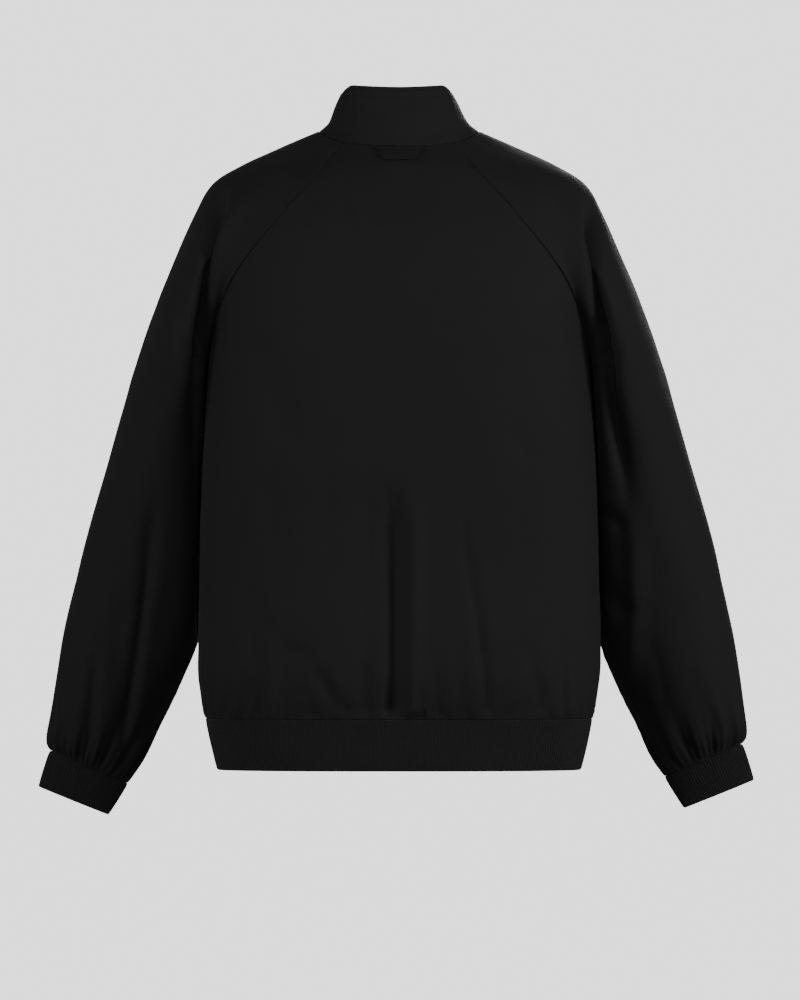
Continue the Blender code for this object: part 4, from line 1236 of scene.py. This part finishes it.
def tape_front(collar, drops):
    wall = np.select([drops < COLLAR_SEAM_DROP, drops > BAND_TOP_DROP], [COLLAR_WALL, RIB_WALL],
                     CLOTH) + TAPE_CLEARANCE
    return front_line(collar, ZIP_EDGE, drops) + wall


def zip_tape(side, collar):
    drops = np.concatenate([np.linspace(-2.0, 58.0, 40), np.linspace(66.0, 596.0, 150),
                            [606.0], np.linspace(610.0, HEM_DROP, 20)])
    x, back = ZIP_SECTION[:, :1], ZIP_SECTION[:, 1:]
    y = tape_front(collar, drops)
    outer = last_axis(x * SIDES[side], y + back, -drops)
    inner = last_axis(x * SIDES[side], y + TAPE_WALL, -drops)
    return outer, inner, last_axis(x, -drops)


def zip_teeth(collar):
    """Interlocking teeth, one mesh: a chamfered head with a waist behind it, on each tape."""
    drops = np.arange(SLIDER_DROP + 6.0, HEM_DROP - 12.0, TOOTH_PITCH / 2)
    y = tape_front(collar, drops)
    corners = ((1, 1), (-1, 1), (-1, -1), (1, -1))
    quads = tube_faces(4, 4) + [(3, 2, 1, 0), (16, 17, 18, 19)]
    points, faces = [], []
    for number, (drop, face) in enumerate(zip(drops, y)):
        way = 1 if number % 2 else -1
        start = number * 20
        for x, half_height, half_depth in TOOTH_RINGS:
            points.extend((way * x, face - TOOTH_LIFT + b * half_depth, -drop + a * half_height)
                          for a, b in corners)
        faces.extend([start + k for k in (quad if way > 0 else quad[::-1])] for quad in quads)
    return np.array(points, dtype=float), np.array(faces)


def plate_piece(name, rings, low, high, look, body, bevel, raised=0.0):
    """Flat plate with soft edges, from (x, z) rings: its outline, then its holes."""
    curve = bpy.data.curves.new(name, "CURVE")
    curve.dimensions = "2D"
    curve.fill_mode = "BOTH"
    curve.extrude = (high - low) / 2 * MM - bevel * MM
    curve.bevel_depth = bevel * MM
    curve.bevel_resolution = 2
    curve.offset = -bevel * MM
    for ring in rings:
        spline = curve.splines.new("POLY")
        spline.points.add(len(ring) - 1)
        for point, (x, z) in zip(spline.points, ring):
            point.co = (x * MM, z * MM, 0, 1)
        spline.use_cyclic_u = True
    holder = bpy.data.objects.new(name + "_curve", curve)
    mesh = bpy.data.meshes.new_from_object(holder)
    bpy.data.objects.remove(holder)
    points = np.zeros(len(mesh.vertices) * 3)
    mesh.vertices.foreach_get("co", points)
    x, z, y = points.reshape(-1, 3).T / MM
    turned = last_axis(x, (low + high) / 2 - y, z + raised)
    mesh.vertices.foreach_set("co", (turned * MM).astype(np.float32).ravel())
    mesh.update()
    mesh.shade_smooth()
    mesh.set_sharp_from_angle(angle=math.radians(35))
    return add_piece(name, mesh, look, body)


def round_outline(width_top, width_bottom, top, bottom, radius, steps=6):
    """Outline of a tapered tab with round corners, anticlockwise."""
    outline = []
    corners = ((width_bottom / 2, bottom, -90), (width_top / 2, top, 0),
               (-width_top / 2, top, 90), (-width_bottom / 2, bottom, 180))
    for x, z, start in corners:
        reach = min(radius, abs(x))
        centre_x = x - math.copysign(reach, x)
        centre_z = z - math.copysign(reach, z - (top + bottom) / 2)
        for step in range(steps + 1):
            angle = math.radians(start + 90 * step / steps)
            outline.append((centre_x + reach * math.cos(angle), centre_z + reach * math.sin(angle)))
    return outline


# --- materials ---
def grey(value, blue):
    return value, value, blue, 1.0


class Nodes:
    """A material's node tree; inputs are given by name or number, as values or links.

    Pitches and distances are in metres, and a scale is in features for each metre.
    """

    def __init__(self, name):
        self.material = bpy.data.materials.new(name)
        self.material.use_nodes = True
        self.tree = self.material.node_tree
        place = self.tree.nodes.new("ShaderNodeTexCoord")
        self.place = place.outputs["Object"]
        flat = self.add("ShaderNodeSeparateXYZ", {0: place.outputs["UV"]})
        self.u, self.v = flat.outputs[0], flat.outputs[1]

    def fill(self, node, inputs):
        for key, value in inputs.items():
            if isinstance(value, bpy.types.NodeSocket):
                self.tree.links.new(value, node.inputs[key])
            elif value is not None:
                node.inputs[key].default_value = value

    def add(self, kind, inputs, **settings):
        node = self.tree.nodes.new(kind)
        for name, value in settings.items():
            setattr(node, name, value)
        self.fill(node, inputs)
        return node

    def maths(self, operation, first, second=0.0):
        return self.add("ShaderNodeMath", {0: first, 1: second}, operation=operation).outputs[0]

    def plus(self, first, second):
        return self.maths("ADD", first, second)

    def times(self, first, second):
        return self.maths("MULTIPLY", first, second)

    def total(self, *shares):
        """Sum of values, each times its share."""
        parts = [self.times(value, share) for value, share in shares]
        result = parts.pop()
        while parts:
            result = self.plus(parts.pop(), result)
        return result

    def noise(self, scale, detail=3.0):
        inputs = {"Vector": self.place, "Scale": scale, "Detail": detail}
        return self.add("ShaderNodeTexNoise", inputs).outputs["Fac"]

    def waves(self, coordinate, pitch):
        return self.maths("SINE", self.times(coordinate, 2 * math.pi / pitch))

    def zigzag(self, coordinate, often):
        turned = self.maths("FRACT", self.times(coordinate, often))
        return self.maths("ABSOLUTE", self.maths("SUBTRACT", turned, 0.5))

    def bump(self, height, distance, strength=1.0, before=None):
        inputs = {"Height": height, "Distance": distance, "Strength": strength, "Normal": before}
        return self.add("ShaderNodeBump", inputs).outputs["Normal"]

    def spread(self, value, low, high):
        inputs = {"Value": value, "To Min": low, "To Max": high}
        return self.add("ShaderNodeMapRange", inputs).outputs["Result"]

    def finish(self, shade, dark, light, **values):
        """Colour the shader from dark to light by shade, and set its other inputs."""
        colour = self.add("ShaderNodeMix", {0: shade, 6: dark, 7: light}, data_type="RGBA")
        inputs = {name.replace("_", " "): value for name, value in values.items()}
        self.fill(self.tree.nodes["Principled BSDF"], {"Base Color": colour.outputs[2], **inputs})
        return self.material


def cloth_material():
    """Matt black twill with a faint sheen and slight unevenness."""
    nodes = Nodes("black_twill")
    u, v = nodes.u, nodes.v
    twill = nodes.waves(nodes.plus(u, v), 0.00085)
    yarn = nodes.waves(nodes.maths("SUBTRACT", u, nodes.times(v, 0.35)), 0.00055)
    slub = nodes.noise(900.0, 2.0)
    cloudy = nodes.noise(14.0, 4.0)
    fine = nodes.bump(nodes.total((twill, 0.6), (yarn, 0.4)), 0.00006, 0.6)
    soft = nodes.bump(nodes.noise(60.0), 0.0008, 0.35, nodes.bump(slub, 0.00012, 0.5, fine))
    return nodes.finish(nodes.total((cloudy, 0.7), (slub, 0.2), (twill, 0.07)),
                        grey(0.0078, 0.0083), grey(0.0150, 0.0155), Normal=soft,
                        Roughness=nodes.spread(cloudy, 0.62, 0.86), Specular_IOR_Level=0.14,
                        Sheen_Weight=0.03, Sheen_Roughness=0.45)


def knit_material():
    """Rib knit: rows of small loops along each rib, and dull, slightly hairy yarn."""
    nodes = Nodes("black_rib_knit")
    lean = nodes.times(nodes.zigzag(nodes.u, 1 / (RIB_PITCH * MM)), 0.0022)
    loops = nodes.waves(nodes.plus(nodes.v, lean), 0.0014)
    fuzz = nodes.noise(1400.0)
    cloudy = nodes.noise(20.0)
    normal = nodes.bump(fuzz, 0.0002, 0.5, nodes.bump(loops, 0.00022, 0.9))
    return nodes.finish(nodes.total((cloudy, 0.7), (fuzz, 0.3)), grey(0.0062, 0.0066),
                        grey(0.0124, 0.0129), Normal=normal,
                        Roughness=nodes.spread(cloudy, 0.82, 0.97), Specular_IOR_Level=0.15,
                        Sheen_Weight=0.05, Sheen_Roughness=0.6)


def tape_material():
    """Woven tape with a fine herringbone."""
    nodes = Nodes("black_woven_tape")
    lean = nodes.times(nodes.zigzag(nodes.u, 420.0), 0.0024)
    bone = nodes.waves(nodes.plus(nodes.v, lean), 0.0008)
    cloudy = nodes.noise(40.0)
    return nodes.finish(nodes.total((cloudy, 0.7), (bone, 0.15)), grey(0.0080, 0.0085),
                        grey(0.0142, 0.0147), Normal=nodes.bump(bone, 0.0001, 0.8),
                        Roughness=nodes.spread(cloudy, 0.6, 0.75), Specular_IOR_Level=0.12,
                        Sheen_Weight=0.02)


def thread_material():
    nodes = Nodes("black_thread")
    twist = nodes.noise(2200.0, 2.0)
    return nodes.finish(twist, grey(0.006, 0.0065), grey(0.014, 0.0145),
                        Normal=nodes.bump(twist, 0.0001, 0.6),
                        Roughness=nodes.spread(twist, 0.45, 0.6), Specular_IOR_Level=0.4)


def metal_material():
    """Dark oxidised zip metal, rubbed a little brighter in places."""
    nodes = Nodes("dark_zip_metal")
    worn = nodes.noise(320.0, 4.0)
    fine = nodes.bump(nodes.noise(2600.0, 2.0), 0.00004, 0.5)
    return nodes.finish(worn, grey(0.055, 0.060), grey(0.14, 0.145), Normal=fine,
                        Roughness=nodes.spread(worn, 0.26, 0.46), Metallic=1.0)


# --- building ---
def build_jacket():
    cloth, knit = (cloth_material(), "cloth"), (knit_material(), "rib_knit")
    tape, metal = (tape_material(), "tape"), (metal_material(), "zip_metal")
    thread = thread_material(), "cloth"
    seam_lines = {"hem": [], "collar": [], "zip": [], "cuffs": [], "pockets": []}

    back, inner, normals = back_grid()
    back_piece = add_shell("back_cloth", back, inner, cloth, "back")
    hem_row = len(back) - 4
    seam_lines["hem"].append(row_at(back, normals, hem_row))

    fronts, sleeves = {}, {}
    for side, sign in SIDES.items():
        fronts[side], inner, normals = front_grid(side)
        piece = add_shell("front_cloth_" + side, fronts[side], inner, cloth, "front_" + side)
        seam_lines["hem"].append(row_at(fronts[side], normals, hem_row))
        seam_lines["zip"].append((fronts[side][4:-3, -5], normals[4:-3, -5]))

        line = np.linspace(*WELT_LINE, 60) * (sign, 1)
        outer, inner = pocket_welt(surface_tree(piece), line)
        welt = add_shell("welt_cloth_" + side, outer, inner, cloth, "pocket_welt_" + side)
        for offset in (-WELT_SEWING, WELT_SEWING):
            places = (line + side_ways(line) * offset)[1:-1]
            seam_lines["pockets"].append(line_over(surface_tree(welt), places, -1, 0.1))

        sleeves[side], inner, normals, closed_from = sleeve_grid(side)
        sleeve_piece = add_shell("sleeve_cloth_" + side, sleeves[side], inner, cloth,
                                 "sleeve_" + side, closed_from)
        seam_lines["cuffs"].append(row_at(sleeves[side], normals, len(normals) - 3))
        outer, inner, uv = cuff_rib(side)
        cuff_piece = add_shell("cuff_knit_" + side, outer, inner, knit, "cuff_" + side, 0, uv)

    collar, inner, normals, parts = collar_grid(back, fronts["left"], sleeves["left"])
    collar_piece = add_shell("collar_cloth", collar, inner, cloth, "collar")
    for line in COLLAR_STITCHES:
        place = float(np.interp(1 - line / COLLAR_HEIGHT, parts, np.arange(len(parts))))
        seam_lines["collar"].append(row_at(collar, normals, place, 0.15))

    outer, inner, uv = hem_rib()
    hem_piece = add_shell("hem_knit", outer, inner, knit, "hem_rib", uv=uv)

    outer, inner = hanger_tape(surface_tree(back_piece))
    loop_piece = add_shell("hanger_tape", outer, inner, tape, "hanger_loop")

    for side in SIDES:
        outer, inner, uv = zip_tape(side, collar)
        piece = add_shell("zip_weave_" + side, outer, inner, tape, "zip_tape_" + side, uv=uv)
    points, faces = zip_teeth(collar)
    add_piece("zip_teeth", make_mesh("zip_teeth", points, faces, sharp=30.0), metal)
    build_slider(collar, metal)
    for name, lines in seam_lines.items():
        points, faces = stitch_rows(lines)
        name = "stitches_" + name
        add_piece(name, make_mesh(name, points, faces, sharp=None), thread)


def build_slider(collar, metal):
    """The hanging tab and the bottom box; the slider itself is the solid with softened edges."""
    low, high = (np.array(corner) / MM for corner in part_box("zip_pull"))
    # Each outline has widths at its top and bottom, the heights of both, and a corner radius.
    tab = round_outline(5.0, 6.4, high[2], low[2], 2.4)
    slot = round_outline(3.0, 3.2, -9.7, -14.6, 1.2)[::-1]
    eye = round_outline(2.6, 2.6, low[2] + 5.4, low[2] + 2.2, 1.3)[::-1]
    piece = plate_piece("pull_tab_plate", (tab, slot, eye), low[1], high[1], metal, TAB_NAME, 0.22)
    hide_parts("zip_pull")
    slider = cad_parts["zip_slider"]
    slider.data.materials.clear()
    slider.data.materials.append(metal[0])
    softened = slider.modifiers.new("softened", "BEVEL")
    softened.width = 0.22 * MM
    softened.segments = 2
    box_y = float(tape_front(collar, np.array([HEM_DROP - 6.0]))[0])
    box = round_outline(5.4, 5.4, 0.0, -10.5, 1.0)
    plate_piece("bottom_box", (box,), box_y - 1.5, box_y - 0.1, metal, BODY_NAME, 0.3,
                11.0 - HEM_DROP)


# --- studio, in metres ---
CAMERA_DISTANCE = 12.0
FRAME_HEIGHT = 1.05
FRAME_CENTRE = (-0.001, -0.378)
FLOOR_Z = -1.30
ROOM_RADIUS = 32.0
ROOM_SWEEP = 3.0
ROOM_HEIGHT = 16.0
FLOOR_HUB = 0.001
LAMP_AIM = Vector((0, 0, -0.35))
LAMPS = (  # name, place, size, power
    ("above", (0.2, 4.6, 0.9), 3.6, 85.0),
    ("key", (-4.4, 2.3, 0.4), 1.6, 148.0),
    ("left", (4.2, 2.4, 0.2), 1.8, 83.0),
    ("front", (-1.0, -4.2, 1.2), 1.8, 120.0),
)


def build_studio():
    scene = bpy.context.scene
    camera = add_object("camera", bpy.data.cameras.new("camera"))
    camera.data.sensor_width = 36.0
    camera.data.lens = 36.0 * CAMERA_DISTANCE / FRAME_HEIGHT
    camera.location = (FRAME_CENTRE[0], CAMERA_DISTANCE, FRAME_CENTRE[1])
    camera.rotation_euler = (math.radians(90), 0.0, math.radians(180))
    camera.data.clip_end = 90.0
    scene.camera = camera

    # A round room: a level floor that sweeps up into a wall beyond every camera.
    bend = np.linspace(0.0, math.pi / 2, 17)
    sweep = ROOM_RADIUS - ROOM_SWEEP * (1 - np.sin(bend))
    across = np.concatenate([[FLOOR_HUB], sweep, [ROOM_RADIUS]])
    up = FLOOR_Z + np.concatenate([[0.0], ROOM_SWEEP * (1 - np.cos(bend)), [ROOM_HEIGHT]])
    turn = np.linspace(0.0, 2 * math.pi, 97)[:-1, None]
    points = last_axis(across * np.cos(turn), across * np.sin(turn), up) / MM
    number = np.arange(points.size // 3).reshape(points.shape[:2])
    after = np.roll(number, -1, axis=0)
    faces = np.stack([number[:, :-1], after[:, :-1], after[:, 1:], number[:, 1:]],
                     axis=-1).reshape(-1, 4)
    mesh = make_mesh("studio_floor", points.reshape(-1, 3), faces, sharp=None)
    nodes = Nodes("pale_paper")
    mesh.materials.append(nodes.finish(
        nodes.noise(3.0, 2.0), grey(0.36, 0.36), grey(0.365, 0.365), Roughness=0.95,
        Specular_IOR_Level=0.0, Emission_Color=(1, 1, 1, 1), Emission_Strength=2.0))
    floor = add_object("studio_floor", mesh)
    floor.visible_diffuse = False
    floor.visible_glossy = False

    world = bpy.data.worlds.new("studio")
    scene.world = world
    world.use_nodes = True
    background = world.node_tree.nodes["Background"]
    background.inputs[0].default_value = (1.0, 1.0, 1.0, 1.0)
    background.inputs[1].default_value = 0.09
    for name, place, size, power in LAMPS:
        light = bpy.data.lights.new(name, "AREA")
        light.shape = "DISK"
        light.size = size
        light.energy = power
        lamp = add_object(name, light)
        lamp.location = place
        lamp.visible_camera = False
        lamp.rotation_euler = (LAMP_AIM - Vector(place)).to_track_quat("-Z", "Y").to_euler()


build_studio()
build_jacket()
